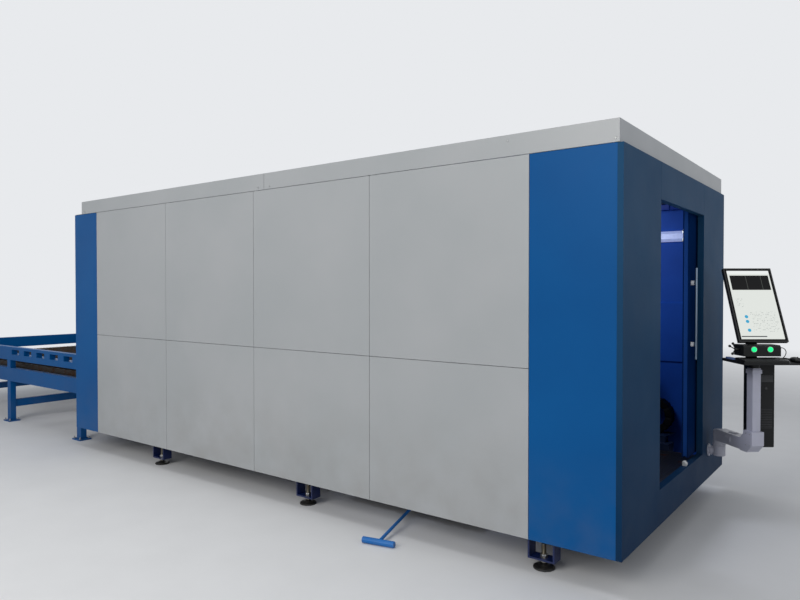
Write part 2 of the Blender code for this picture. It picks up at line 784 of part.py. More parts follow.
def make_carriage(gantry):
    slide = carrier("carriage_slide", (0, carriage_y, 0), gantry)
    back = -gantry_depth / 2 - 0.02 - running_gap
    half = carriage_width / 2
    boxes = [((back - 0.02, -half, gantry_bottom + 0.02), (back, half, gantry_top + 0.02))]
    for z in (gantry_bottom + 0.06, gantry_top - 0.05):
        for y in (-half + 0.04, half - 0.04):
            for side in (-1, 1):
                z0, z1 = sorted((z + side * (0.012 + running_gap), z + side * 0.028))
                boxes.append(((back - 0.01, y - 0.03, z0), (back + 0.016, y + 0.03, z1)))
    boxes.append(((back - 0.036, -0.05, gantry_bottom + 0.03), (back - 0.01, 0.05, gantry_top + 0.01)))
    welded("y_carriage", boxes, dark_steel, slide)
    lift = carrier("head_slide", (back - 0.036 - running_gap - 0.07, 0, 0), slide)
    r = head_radius
    # Radius and rise above the nozzle's tip: tip, cone, adapter, lens barrel, motor housing, cable gland.
    steps = (
        (0, 0), (0.003, 0), (0.012, 0.02), (0.02, 0.03), (0.02, 0.055), (0.034, 0.075), (0.034, 0.12), (r, 0.14),
        (r, 0.36), (r - 0.015, 0.39), (0.022, 0.40), (0.022, 0.48), (0.012, 0.50), (0, 0.50),
    )
    profile = [(radius, nozzle_height + rise) for radius, rise in steps]
    head = turned("cutting_head", profile, steel, lift, sides=16)
    plate = [((0.04, -0.045, nozzle_height + 0.15), (0.07, 0.045, nozzle_height + 0.34)),
             ((-0.03, -0.066, nozzle_height + 0.16), (0.05, 0.066, nozzle_height + 0.30))]
    combine(head, [boxes_into(plate)])


def make_drag_chain():
    # Links along a U: the lower run lies in the trough and the upper run hangs on the gantry.
    radius = (chain_high - chain_low) / 2
    low_run = abs(chain_fixed_x - chain_bend_x)
    high_end = gantry_x + 0.07
    high_run = abs(high_end - chain_bend_x)
    total = low_run + math.pi * radius + high_run
    count = round(total / chain_link)

    def point(distance):
        if distance < low_run:
            return (chain_fixed_x + distance, chain_low), 0.0
        if distance < low_run + math.pi * radius:
            angle = (distance - low_run) / radius
            centre_z = (chain_low + chain_high) / 2
            return (chain_bend_x + radius * math.sin(angle), centre_z - radius * math.cos(angle)), angle
        return (chain_bend_x - (distance - low_run - math.pi * radius), chain_high), math.pi

    y_middle = chain_near_y + chain_width / 2
    bm = bmesh.new()
    rings = []
    for index in range(count):
        for place, grow in ((0.0, 0.0), (0.22, 1.0), (0.78, 1.0)):
            (x, z), angle = point((index + place) * total / count)
            normal = Vector((math.sin(angle), 0, -math.cos(angle)))
            half_t = chain_thickness / 2 - (1 - grow) * 0.006
            half_w = chain_width / 2 - (1 - grow) * 0.004
            centre = Vector((x, y_middle, z))
            rings.append([
                bm.verts.new(centre + normal * (side * half_t) + Vector((0, across * half_w, 0)))
                for side, across in ((-1, -1), (-1, 1), (1, 1), (1, -1))
            ])
    for first, second in zip(rings, rings[1:]):
        for corner in range(4):
            following = (corner + 1) % 4
            bm.faces.new((first[corner], first[following], second[following], second[corner]))
    bm.faces.new(rings[0][::-1])
    bm.faces.new(rings[-1])
    finish_mesh("drag_chain", bm, black_plastic)


def make_pallet(name, right_x, track, parent):
    left_x = right_x - pallet_length
    near, far = pallet_near_y, pallet_near_y + pallet_width
    low = track + 0.02
    high = low + pallet_frame_height
    width = pallet_frame_width
    boxes = [
        ((left_x, near, low), (right_x, near + width, high)),
        ((left_x, far - width, low), (right_x, far, high)),
    ]
    cross_count = 5
    for index in range(cross_count):
        x = left_x + width / 2 + (pallet_length - width) * index / (cross_count - 1)
        boxes.append((
            (x - width / 2, near + width - 0.01, low + weld_step),
            (x + width / 2, far - width + 0.01, high - 0.02),
        ))
    for y in (near + 0.014, far - 0.026):
        boxes.append(((left_x + 0.02, y, high - 0.005), (right_x - 0.02, y + 0.012, high + 0.045)))
    pallet = welded(name, boxes, dark_steel, parent)
    slats = []
    for index in range(slat_count):
        x = left_x + 0.10 + (pallet_length - 0.20) * index / (slat_count - 1)
        slat_low = high - 0.03
        slats.append(((x, near + 0.02, slat_low), (x + slat_thickness, far - 0.02, slat_low + slat_height)))
    combine(pallet, [boxes_into(slats)])
    axle_z = track + pallet_wheel_radius + clearance
    wheels = []
    for index in range(5):
        x = left_x + 0.16 + (pallet_length - 0.32) * index / 4
        for y in (near + 0.018, far - 0.042):
            wheels.append(((x, y, axle_z), (x, y + 0.024, axle_z), pallet_wheel_radius))
    combine(pallet, [rods_into(wheels, 10)])


def make_exchange_table():
    boxes = []
    low_beam, high_beam = lower_track - 0.045, upper_track - 0.045
    near_face = front_beam_y + side_beam_width
    far_face = rear_beam_y
    legs = (table_near_end - 0.22, (table_near_end + table_far_end) / 2, table_far_end + 0.12)
    for face, inward in ((near_face, 1), (far_face, -1)):
        y0, y1 = sorted((face, face - inward * table_beam_width))
        for level in (low_beam, high_beam):
            boxes.append(((table_far_end, y0, level), (table_near_end, y1, level + table_beam_height)))
        for level in (upper_track, lower_track):
            edge = pallet_near_y + pallet_frame_width + 0.015
            if inward < 0:
                edge = pallet_near_y + pallet_width - pallet_frame_width - 0.015
            near_y, far_y = sorted((face - inward * 0.01, edge))
            boxes.append(((table_far_end, near_y, level - track_thickness), (table_near_end, far_y, level)))
        for x in legs:
            half = table_leg / 2
            boxes.append(((x - half, y0 + weld_step, 0.01), (x + half, y1 - weld_step, high_beam + 0.02)))
            boxes.append(((x - 0.075, y0 - 0.03, 0), (x + 0.075, y1 + 0.03, 0.012)))
    for x in legs:
        boxes.append(((x - 0.03, near_face - 0.02, 0.16), (x + 0.03, far_face + 0.02, 0.24)))
    for level in (low_beam, high_beam):
        boxes.append((
            (table_far_end, near_face - 0.02, level + weld_step),
            (table_far_end + table_beam_width, far_face + 0.02, level + table_beam_height - 0.01),
        ))
    table = welded("exchange_frame", boxes, blue_paint)
    windows = []
    count = int((table_near_end - table_far_end - 0.5) / window_pitch)
    for index in range(count):
        x = table_near_end - 0.34 - index * window_pitch
        if min(abs(x - window_length / 2 - leg) for leg in legs) < 0.15:
            continue
        for face, inward in ((near_face, 1), (far_face, -1)):
            y0, y1 = sorted((face + inward * 0.002, face - inward * (table_beam_width + 0.02)))
            windows.append(((x - window_length, y0, high_beam + 0.065), (x, y1, high_beam + 0.12)))
    combine(table, [boxes_into(windows)], "DIFFERENCE")


# Scrap trolley

def make_scrap_trolley():
    slide = carrier("scrap_slide", (tray_centre_x, 0, 0))
    half = tray_length / 2
    body = tray(
        "scrap_tray", (-half, tray_near_y, tray_bottom), (half, tray_far_y, tray_top), (0, 0, 1),
        bed_paint, 0.003, slide,
    )
    hangers = []
    axle_rows = (tray_near_y + tray_axle_inset, tray_far_y - tray_axle_inset)
    for y in axle_rows:
        for side in (-1, 1):
            x0, x1 = sorted((side * (half - 0.02), side * (half - 0.012)))
            hangers.append(((x0, y - 0.02, 0.024), (x1, y + 0.02, tray_bottom + 0.002)))
    nose_y = tray_near_y
    hangers.append(((-0.03, nose_y - 0.038, 0.05), (0.03, nose_y + 0.002, 0.058)))
    hangers.append(((-0.03, nose_y - 0.038, 0.10), (0.03, nose_y + 0.002, 0.108)))
    combine(body, [boxes_into(hangers)])
    axle_z = tray_wheel_radius
    bore = tray_axle_radius + running_gap
    bores = [((-half - 0.01, y, axle_z), (half + 0.01, y, axle_z), bore) for y in axle_rows]
    combine(body, [rods_into(bores, 16)], "DIFFERENCE")
    pin_y = nose_y - 0.022
    combine(body, [rods_into([((0, pin_y, 0.04), (0, pin_y, 0.12), 0.0065)], 16)], "DIFFERENCE")
    inner, outer = half + 0.004, half + 0.026
    r, axle = tray_wheel_radius, tray_axle_radius
    profile = [
        (0, -outer - 0.004), (axle, -outer - 0.004), (axle, -outer), (r - 0.004, -outer), (r, -outer + 0.004),
        (r, -inner - 0.004), (r - 0.004, -inner), (axle, -inner),
    ]
    profile += [(radius, -height) for radius, height in reversed(profile)]
    for name, y in (("tray_wheels_front", axle_rows[0]), ("tray_wheels_rear", axle_rows[1])):
        spin = carrier(name + "_axis", (0, y, axle_z), slide)
        turned(name, profile, steel, spin, axis="X", sides=16)
    make_drawbar(slide, pin_y)


def make_drawbar(slide, pin_y):
    swivel = carrier("drawbar_swivel", (0, pin_y, 0), slide, (0, 0, drawbar_yaw))
    hinge_y, hinge_z = -0.056, 0.079
    # The eye between the tray's two lugs, the neck, the crosshead and its two fork cheeks.
    boxes = [
        ((-0.014, -0.012, 0.0583), (0.014, 0.010, 0.0997)),
        ((-0.014, -0.04, 0.0683), (0.014, 0.0, 0.0897)),
        ((-0.024, -0.042, 0.0653), (0.024, -0.030, 0.0927)),
        ((-0.024, -0.068, 0.0653), (-0.016, -0.032, 0.0927)),
        ((0.016, -0.068, 0.0653), (0.024, -0.032, 0.0927)),
    ]
    yoke = welded("drawbar_yoke", boxes, bed_paint, swivel)
    combine(yoke, [rods_into([((0, 0, 0.045), (0, 0, 0.113), 0.006)], 12)])
    pin_hole = ((-0.03, hinge_y, hinge_z), (0.03, hinge_y, hinge_z), 0.005)
    combine(yoke, [rods_into([pin_hole], 12)], "DIFFERENCE")
    drop = math.asin((hinge_z - crossbar_radius) / drawbar_length)
    lift = carrier("drawbar_lift", (0, hinge_y, hinge_z), swivel, (drop, 0, 0))
    bm = bmesh.new()
    add_rod(bm, (0, -0.011, 0), (0, -drawbar_length, 0), drawbar_radius, 12)
    bar = finish_mesh("drawbar", bm, blue_paint, lift)
    half, end = crossbar_length / 2, -drawbar_length
    combine(bar, [
        rods_into([((-half, end, 0), (half, end, 0), crossbar_radius)], 16),
        rods_into([((-0.0152, 0, 0), (0.0152, 0, 0), 0.012)], 16),
        rods_into([((-0.028, 0, 0), (0.028, 0, 0), 0.0046)], 12),
    ])


# Console

def make_console_bracket():
    # A fixed socket on a wall pipe, with the pipe's flange on the end face.
    low, r = swivel_height - bracket_drop, bracket_radius
    profile = [
        (0, low), (r - 0.006, low), (r, low + 0.006), (r, swivel_height - 0.004), (r - 0.003, swivel_height),
        (0, swivel_height),
    ]
    bracket = turned("console_bracket", profile, arm_white, centre=(swivel_x, swivel_y, 0), sides=28)
    middle = low + 0.031
    combine(bracket, [
        rods_into([((0.004, swivel_y, middle), (swivel_x, swivel_y, middle), 0.026)], 20),
        rods_into([((clearance, swivel_y, middle), (0.008, swivel_y, middle), 0.042)], 28),
        rods_into([((0.016, swivel_y, middle), (0.024, swivel_y, middle), 0.031)], 28),
    ])


def make_console():
    arm = carrier("arm_swivel", (swivel_x, swivel_y, 0), rotation=(0, 0, arm_angle))
    half_tube, half_column = arm_tube / 2, column_width / 2
    top = arm_bottom + arm_tube
    casting = arm_wall + half_tube
    low, mitre = arm_bottom - arm_wall, 0.05
    inner, outer, throat = arm_reach - casting, arm_reach + casting, 0.03
    outline = [
        (inner - throat, low), (outer - mitre, low), (outer, low + mitre), (outer, sleeve_top),
        (inner, sleeve_top), (inner, top + arm_wall + throat), (inner - throat, top + arm_wall),
    ]
    console_arm = extruded("console_arm", outline, "Y", -casting, casting, arm_white, arm)
    middle = (arm_bottom + top) / 2
    collar = (arm_reach * 0.35, arm_reach * 0.50)
    combine(console_arm, [
        boxes_into([
            ((0.01, -half_tube, arm_bottom), (arm_reach, half_tube, top)),
            ((arm_reach - half_column, -half_column, top),
             (arm_reach + half_column, half_column, column_top - clearance)),
            ((arm_reach - half_column - 0.005, -half_column - 0.005, column_top - 0.035),
             (arm_reach + half_column + 0.005, half_column + 0.005, column_top - 0.01)),
        ]),
        rods_into([((0, 0, swivel_height + clearance), (0, 0, top - 0.014), bracket_radius)], 28),
        rods_into([((collar[0], 0, middle), (collar[1], 0, middle), half_tube * 1.16)], 28),
    ])
    head = carrier("console_swivel", (arm_reach, 0, 0), arm, (0, 0, head_angle))
    make_console_tray(head)
    make_control_box(head)
    make_monitor(head)
    make_desk_items(head)


def make_console_tray(head):
    low, top = console_tray_height, tray_plate_top
    left, right, near, far, rim, lip = console_tray_left, console_tray_right, -0.16, 0.12, 0.006, 0.006
    post_near, post_far, post_half = tilt_axis_back - 0.015, tilt_axis_back + 0.015, 0.03
    boxes = [
        ((left, near, low), (right, far, top)),
        ((left, near, top - 0.001), (left + rim, far, top + lip)),
        ((right - rim, near, top - 0.001), (right, far, top + lip)),
        ((left, far - rim, top - 0.001), (right, far, top + lip)),
        ((-post_half, post_near, top - 0.001), (post_half, post_far, tilt_axis_height - 0.03)),
        ((-post_half, post_near, tilt_axis_height - 0.031), (-0.018, post_far, tilt_axis_height + 0.014)),
        ((0.018, post_near, tilt_axis_height - 0.031), (post_half, post_far, tilt_axis_height + 0.014)),
    ]
    table = welded("console_tray", boxes, black_plastic, head)
    combine(table, [rods_into([((0, 0, column_top), (0, 0, low + 0.001), 0.034)], 24)])
    bore = ((-0.05, tilt_axis_back, tilt_axis_height), (0.05, tilt_axis_back, tilt_axis_height), 0.0055)
    combine(table, [rods_into([bore], 16)], "DIFFERENCE")


def make_control_box(head):
    low = tray_plate_top + control_box_lift
    high = tilt_axis_height - tilt_axis_above_bottom + control_box_overlap
    front, back = -0.10, tilt_axis_back - 0.015 - clearance
    outline = [(front, low), (back, low), (back, high), (front + 0.012, high), (front, high - 0.012)]
    box = extruded("control_box", outline, "X", control_box_left, control_box_right, black_plastic, head)
    button_z = high - 0.026
    places = (("button_left", -0.054), ("button_right", 0.0475))
    well_radius = button_radius + 0.001
    wells = [((x, front - 0.01, button_z), (x, front + 0.016, button_z), well_radius) for _, x in places]
    combine(box, [rods_into(wells, 24)], "DIFFERENCE")
    for name, x in places:
        press = carrier(name + "_press", (x, front, button_z), head)
        r = button_radius
        profile = [(0, -0.010), (r - 0.003, -0.010), (r, -0.007), (r, 0.010), (0, 0.010)]
        turned(name, profile, button_green, press, axis="Y", sides=24)


def make_monitor(head):
    tilt = carrier("monitor_tilt", (0, tilt_axis_back, tilt_axis_height), head, (monitor_tilt, 0, 0))
    front, bottom = -tilt_axis_to_glass, -tilt_axis_above_bottom
    left, right = monitor_offset - monitor_width / 2, monitor_offset + monitor_width / 2
    back = front + monitor_thickness
    top = bottom + monitor_height
    bezel = 0.012
    housing = tray(
        "monitor_housing", (left, front, bottom), (right, back, top), (0, -1, 0), black_plastic, bezel, tilt,
    )
    combine(housing, [
        boxes_into([((-0.09, back - 0.01, 0.02), (0.09, back + 0.019, 0.14))]),
        boxes_into([((-0.0175, back - 0.005, -0.02), (0.0175, -0.006, 0.06))]),
        rods_into([((-0.0175, 0, 0), (0.0175, 0, 0), 0.012)], 16),
        rods_into([((-0.034, 0, 0), (0.034, 0, 0), 0.005)], 12),
    ])
    inset = bezel + clearance
    bm = bmesh.new()
    add_box(bm, (left + inset, front + 0.0015, bottom + inset), (right - inset, back - inset, top - inset))
    finish_mesh("screen", bm, screen_glow, tilt)


def make_desk_items(head):
    top = tray_plate_top + clearance
    near, far = -0.145, -0.025
    outline = [(near, top), (far, top), (far, top + 0.022), (far - 0.015, top + 0.024), (near, top + 0.012)]
    extruded("keyboard", outline, "X", 0.14 - keyboard_length, 0.14, black_plastic, head)
    bm = bmesh.new()
    bmesh.ops.create_uvsphere(bm, u_segments=16, v_segments=8, radius=1.0)
    shape = Matrix.Translation((0.21, -0.09, top + 0.012)) @ Matrix.Diagonal((0.028, 0.05, 0.02, 1.0))
    bmesh.ops.transform(bm, matrix=shape, verts=bm.verts[:])
    mouse = finish_mesh("mouse", bm, black_plastic, head, smooth=True)
    combine(mouse, [boxes_into([((0.1, -0.2, top - 0.05), (0.3, 0.1, top))])], "DIFFERENCE")
    high = console_tray_height - clearance
    low = high - 0.56
    bm = bmesh.new()
    add_box(bm, (0.055, 0.062, low), (0.17, 0.235, high))
    bmesh.ops.bevel(bm, geom=bm.edges[:], offset=0.005, segments=1, affect="EDGES")
    finish_mesh("computer_case", bm, black_plastic, head)


make_front_panels()
make_back_panels()
make_corner_columns()
make_end_surround()
make_header_panel()
make_left_end_panel()
make_roof()
make_enclosure_frames()
make_doors()
make_liners()
make_lamp()
make_bed()
make_feet()
make_gantry()
make_drag_chain()
upper_slide = carrier("pallet_upper_slide", (pallet_inside_x, 0, upper_track))
lower_slide = carrier("pallet_lower_slide", (pallet_outside_x, 0, lower_track))
make_pallet("pallet_upper", 0, 0, upper_slide)
make_pallet("pallet_lower", 0, 0, lower_slide)
make_exchange_table()
make_scrap_trolley()
make_console_bracket()
make_console()
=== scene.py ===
import json
import math

import bmesh
import bpy
from mathutils import Matrix, Vector


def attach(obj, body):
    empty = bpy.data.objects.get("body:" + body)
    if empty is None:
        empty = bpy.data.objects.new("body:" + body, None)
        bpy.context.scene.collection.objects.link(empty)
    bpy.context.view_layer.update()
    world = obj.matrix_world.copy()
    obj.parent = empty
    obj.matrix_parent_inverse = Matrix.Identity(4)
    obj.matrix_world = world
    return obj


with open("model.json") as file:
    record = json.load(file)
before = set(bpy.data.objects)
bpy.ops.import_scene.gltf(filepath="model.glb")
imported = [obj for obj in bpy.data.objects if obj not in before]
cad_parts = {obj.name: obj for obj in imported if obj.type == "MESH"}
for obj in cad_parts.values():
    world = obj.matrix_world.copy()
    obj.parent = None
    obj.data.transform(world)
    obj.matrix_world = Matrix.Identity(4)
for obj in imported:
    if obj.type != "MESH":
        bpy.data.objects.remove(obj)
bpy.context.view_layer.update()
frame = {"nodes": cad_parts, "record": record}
print("frame loaded,", len(frame["nodes"]), "nodes")

scene = bpy.context.scene
scene.view_settings.view_transform = "Standard"

# where each group of pieces is drawn: a corner of the cabin, or the axis that the group turns on
cabinPlace = Matrix.Translation((0.457, -0.115, 0))
armPlace = Matrix.Translation((0.527, 1.685, 0)) @ Matrix.Rotation(math.radians(-45), 4, "Z")
headPlace = Matrix.Translation((0.777033, 1.434967, 0)) @ Matrix.Rotation(math.radians(37.1), 4, "Z")
tiltPlace = (
    Matrix.Translation((0.755921, 1.462883, 1.248))
    @ Matrix.Rotation(math.radians(37.1), 4, "Z") @ Matrix.Rotation(math.radians(-25), 4, "X")
)


# camera and studio

studio = {
    "cameraPlace": (1.5187, -3.2933, 1.499),
    "cameraTurn": (89.115, 0, 37.126),
    "lens": 29.74,
    "sensor": 36,
    "worldStrength": 0.5,
    "skyColour": (232, 234, 237),
    "lightColour": (235, 238, 242),
    "floorColour": (222, 223, 225),
    "floorWorn": (214, 215, 217),
    "floorSize": 60,
    "floorShift": (2.5, -1.0, 0),   # brings the machine's middle to the middle of the fade
    "fadeSpan": (6.0, 15.0),
    "lamps": [                      # name, place, aimed at, size, power, colour
        ("keyLamp", (-1.0, -7.6, 4.8), (-1.6, 0, 1.0), 4.0, 330, (255, 252, 246)),
        ("endLamp", (5.0, -2.6, 3.4), (0.4, 0.9, 1.0), 2.4, 25, (246, 250, 255)),
        ("topLamp", (-2.5, 1.0, 6.2), (-2.5, 1.0, 1.0), 5.0, 150, (255, 255, 255)),
        ("chamberLamp", (-0.5, 0.95, 2.05), (-0.7, 1.9, 1.1), 0.7, 13, (236, 242, 255)),
    ],
}


def tint(colour):                   # 0-255 screen colour to the linear one that sockets hold
    linear = []
    for part in colour:
        part /= 255
        linear.append(part / 12.92 if part <= 0.04045 else ((part + 0.055) / 1.055) ** 2.4)
    return (*linear, 1.0)


def setCamera():
    camera = bpy.data.cameras.new("photoCamera")
    camera.lens = studio["lens"]
    camera.sensor_width = studio["sensor"]
    cameraObject = bpy.data.objects.new("photoCamera", camera)
    scene.collection.objects.link(cameraObject)
    cameraObject.location = studio["cameraPlace"]
    cameraObject.rotation_euler = [math.radians(turn) for turn in studio["cameraTurn"]]
    scene.camera = cameraObject


def setLamps():
    for name, place, aim, size, power, colour in studio["lamps"]:
        lamp = bpy.data.lights.new(name, "AREA")
        lamp.shape, lamp.size, lamp.energy = "SQUARE", size, power
        lamp.color = tint(colour)[:3]
        lampObject = bpy.data.objects.new(name, lamp)
        scene.collection.objects.link(lampObject)
        lampObject.location = place
        lampObject.rotation_euler = (Vector(aim) - Vector(place)).to_track_quat("-Z", "Y").to_euler()


# shader maths

class Wire:                         # one socket, so that sums can be written out
    def __init__(self, finish, socket):
        self.finish, self.socket = finish, socket

    def sum(self, operation, first, second):
        return self.finish.node("ShaderNodeMath", {"operation": operation}, {0: first, 1: second})

    def __add__(self, other):
        return self.sum("ADD", self, other)

    def __sub__(self, other):
        return self.sum("SUBTRACT", self, other)

    def __rsub__(self, other):
        return self.sum("SUBTRACT", other, self)

    def __mul__(self, other):
        return self.sum("MULTIPLY", self, other)

    def __truediv__(self, other):
        return self.sum("DIVIDE", self, other)

    def __rtruediv__(self, other):
        return self.sum("DIVIDE", other, self)

    def __pow__(self, other):
        return self.sum("POWER", self, other)

    def __gt__(self, other):
        return self.sum("GREATER_THAN", self, other)

    def __lt__(self, other):
        return self.sum("LESS_THAN", self, other)

    __radd__ = __add__
    __rmul__ = __mul__


class Finish:                       # one material and its nodes
    def __init__(self, name, constants):
        self.material = bpy.data.materials.new(name)
        self.material.use_nodes = True
        self.tree = self.material.node_tree
        self.shader = self.tree.nodes["Principled BSDF"]
        for socketName, value in constants.items():
            self.shader.inputs[socketName].default_value = value

    def node(self, kind, settings=None, inputs=None, output=0):
        made = self.tree.nodes.new(kind)
        for key, value in (settings or {}).items():
            setattr(made, key, value)
        for key, value in (inputs or {}).items():
            if isinstance(value, Wire):
                self.tree.links.new(value.socket, made.inputs[key])
            else:
                made.inputs[key].default_value = value
        return Wire(self, made.outputs[output])

    def feed(self, socketName, wire):
        self.tree.links.new(wire.socket, self.shader.inputs[socketName])

    def place(self, scale=(1, 1, 1)):
        here = self.node("ShaderNodeTexCoord", output="Object")
        return self.node("ShaderNodeMapping", inputs={"Vector": here, "Scale": scale})

    def axis(self, letter, vector=None):
        return self.node("ShaderNodeSeparateXYZ", inputs={0: vector or self.place()}, output=letter)

    def localTo(self, place):               # coordinates in a piece's own turned frame
        here = self.node("ShaderNodeTexCoord", output="Object")
        return self.node("ShaderNodeMapping", {"vector_type": "TEXTURE"}, {
            "Vector": here, "Location": place.to_translation(), "Rotation": place.to_euler(),
        })

    def band(self, value, low, high):       # 1 between low and high
        return (value > low) * (value < high)

    def patch(self, across, up, area):      # 1 inside a rectangle given as two spans
        return self.band(across, *area[0]) * self.band(up, *area[1])

    def noise(self, scale, detail=2.0, vector=None):
        return self.node("ShaderNodeTexNoise", {}, {
            "Vector": vector or self.place(), "Scale": scale, "Detail": detail,
        }, output=0)

    def fade(self, value, low, high):       # 0 at low, 1 at high
        return self.node("ShaderNodeMapRange", {"clamp": True}, {0: value, 1: low, 2: high, 3: 0, 4: 1})

    def mix(self, share, first, second):
        return self.node("ShaderNodeMix", {"data_type": "RGBA"}, {0: share, 6: first, 7: second}, output=2)

    def bump(self, height, strength, distance):
        return self.node("ShaderNodeBump", {}, {"Height": height, "Strength": strength, "Distance": distance})


# finishes

paints = {
    "enclosureWhite": {
        "colour": (164, 167, 170), "shade": (159, 163, 166), "roughness": 0.38,
        "dust": 0.35, "dustTo": 0.9,
    },
    "enclosureBlue": {
        "colour": (4, 82, 143), "shade": (3, 77, 137), "roughness": 0.4, "shine": 0.1,
        "dust": 0.2, "dustTo": 0.7,
    },
    # painted shade and painted reflection: a darker, greyer copy of the blue paint for the end face and
    # header, with painted shade deepening towards the bottom
    "endBluePaintedShade": {
        "colour": (34, 74, 108), "shade": (5, 40, 72), "roughness": 0.5, "shine": 0.04,
        "dust": 0.1, "dustTo": 0.7, "paintedShadeTo": 1.7,
    },
    # painted shade: a near-black copy of the blue paint for the recessed door leaves
    "leafBluePaintedShade": {
        "colour": (10, 44, 94), "shade": (8, 36, 80), "roughness": 0.5, "shine": 0.0,
        "dust": 0.2, "dustTo": 0.6,
    },
    "frameBlue": {
        "colour": (15, 40, 76), "shade": (12, 34, 66), "roughness": 0.5, "peel": 0.2, "shine": 0.15,
        "dust": 0.4, "dustTo": 0.6,
    },
    "drawbarBlue": {
        "colour": (14, 108, 186), "shade": (12, 94, 166), "roughness": 0.4, "peel": 0.2, "shine": 0.25,
        "dust": 0.3, "dustTo": 0.1,
    },
    "leafEdge": {"colour": (32, 78, 152), "shade": (26, 68, 138), "roughness": 0.45, "shine": 0.1},
    "linerBlue": {"colour": (26, 76, 168), "shade": (22, 64, 148), "roughness": 0.5, "shine": 0.08},
    "beamBlue": {"colour": (26, 60, 150), "shade": (20, 48, 126), "roughness": 0.45, "shine": 0.1},
    "gantryWhite": {"colour": (196, 199, 201), "shade": (182, 186, 188), "peel": 0.15},
    "carriageGrey": {"colour": (74, 78, 82), "shade": (58, 62, 66), "roughness": 0.4, "peel": 0.2},
    "armWhite": {"colour": (186, 187, 204), "shade": (160, 162, 170), "peel": 0.15},
    "consoleBlack": {
        "colour": (13, 14, 16), "shade": (18, 19, 21), "roughness": 0.5, "peel": 0.3, "shine": 0.3,
    },
}

steels = {
    "handleSteel": {
        "colour": (150, 168, 186), "shade": (128, 146, 166), "roughness": 0.3, "grain": (1, 1, 0.02),
        "metallic": 0.8,
    },
    "headMetal": {
        "colour": (170, 172, 174), "shade": (140, 142, 145), "roughness": 0.3, "grain": (1, 1, 0.05),
    },
    "palletSteel": {
        "colour": (92, 86, 80), "shade": (62, 58, 54), "roughness": 0.55, "metallic": 0.8, "rust": 0.6,
    },
    "wheelSteel": {"colour": (120, 120, 120), "shade": (88, 88, 88), "roughness": 0.4, "rust": 0.3},
    "threadSteel": {"colour": (168, 160, 140), "shade": (120, 112, 96), "roughness": 0.35, "rust": 0.2},
    "plateDark": {
        "colour": (58, 62, 70), "shade": (40, 43, 50), "roughness": 0.5, "metallic": 0.7, "rust": 0.1,
    },
    "fixingSteel": {"colour": (176, 178, 180), "shade": (150, 152, 154), "roughness": 0.32},
}

plastics = {
    "guideWhite": {"colour": (228, 229, 228), "shade": (205, 206, 204), "roughness": 0.4},
    "bossBright": {"colour": (250, 251, 253), "shade": (240, 242, 246), "roughness": 0.25},
    "chainBlack": {"colour": (7, 8, 12), "shade": (13, 14, 19), "roughness": 0.6, "shine": 0.1},
    "housingBlack": {"colour": (8, 8, 9), "shade": (15, 15, 16), "roughness": 0.5},
    "rubberBlack": {"colour": (24, 25, 27), "shade": (36, 37, 39), "roughness": 0.65},
    "keyBlack": {"colour": (34, 35, 38), "shade": (48, 49, 52), "roughness": 0.5},
    "noteBlue": {"colour": (92, 112, 158), "shade": (76, 96, 142), "roughness": 0.5},
}

glows = {
    "lampWhite": {"colour": (150, 163, 208), "strength": 0.62},
    "buttonGreen": {"colour": (16, 236, 128), "strength": 1.25},
}

dustColour = (118, 112, 104)
rustColour = (96, 58, 34)


def paint(name, colour, shade, roughness=0.36, peel=0.12, shine=0.5, dust=0.0, dustTo=0.0, paintedShadeTo=0.0):
    # sprayed and baked paint: orange peel, cloudy tone, dust low down, and where asked painted shade
    # darkening the lower part
    finish = Finish(name, {"Specular IOR Level": shine})
    mottleAndPaintedShade = finish.fade(finish.noise(1.7, 4.0), 0.35, 0.65)
    if paintedShadeTo:                     # painted shade lies low down, the main colour from this height
        mottleAndPaintedShade = mottleAndPaintedShade * 0.2 + (1 - finish.fade(finish.axis("Z"), 0.2, paintedShadeTo)) * 0.8
    tone = finish.mix(mottleAndPaintedShade, tint(colour), tint(shade))
    if dust:
        low = 1 - finish.fade(finish.axis("Z"), 0.05, dustTo)
        grime = low * finish.fade(finish.noise(6, 5.0), 0.3, 0.8) * dust
        tone = finish.mix(grime, tone, tint(dustColour))
    finish.feed("Base Color", tone)
    finish.feed("Roughness", finish.noise(5, 3.0) * 0.12 + (roughness - 0.06))
    peelHeight = finish.noise(260, 2.0) + finish.noise(900, 1.0) * 0.25
    finish.feed("Normal", finish.bump(peelHeight, peel, 0.0006))
    return finish.material


def steelFinish(name, colour, shade, roughness, grain=(1, 1, 1), metallic=1.0, rust=0.0):
    finish = Finish(name, {"Metallic": metallic})
    streak = finish.noise(90, 3.0, finish.place(grain))
    tone = finish.mix(finish.fade(streak, 0.3, 0.7), tint(colour), tint(shade))
    rough = streak * 0.18 + (roughness - 0.09)
    if rust:
        spots = finish.fade(finish.noise(14, 6.0), 0.62 - 0.2 * rust, 0.72)
        tone = finish.mix(spots * 0.8, tone, tint(rustColour))
        rough = rough + spots * 0.25
    finish.feed("Base Color", tone)
    finish.feed("Roughness", rough)
    finish.feed("Normal", finish.bump(streak, 0.15, 0.0004))
    return finish.material


def plasticFinish(name, colour, shade, roughness, shine=0.5):
    finish = Finish(name, {"Specular IOR Level": shine})
    worn = finish.noise(9, 4.0)
    finish.feed("Base Color", finish.mix(finish.fade(worn, 0.4, 0.7), tint(colour), tint(shade)))
    finish.feed("Roughness", worn * 0.2 + (roughness - 0.1))
    finish.feed("Normal", finish.bump(finish.noise(700, 2.0), 0.2, 0.0004))
    return finish.material


def glowFinish(name, colour, strength):
    finish = Finish(name, {"Emission Strength": strength, "Roughness": 0.3})
    soft = finish.noise(40, 2.0)
    tone = finish.mix(finish.fade(soft, 0.2, 0.8), tint(colour), tint([0.93 * part for part in colour]))
    finish.feed("Base Color", tone)
    finish.feed("Emission Color", tone)
    return finish.material


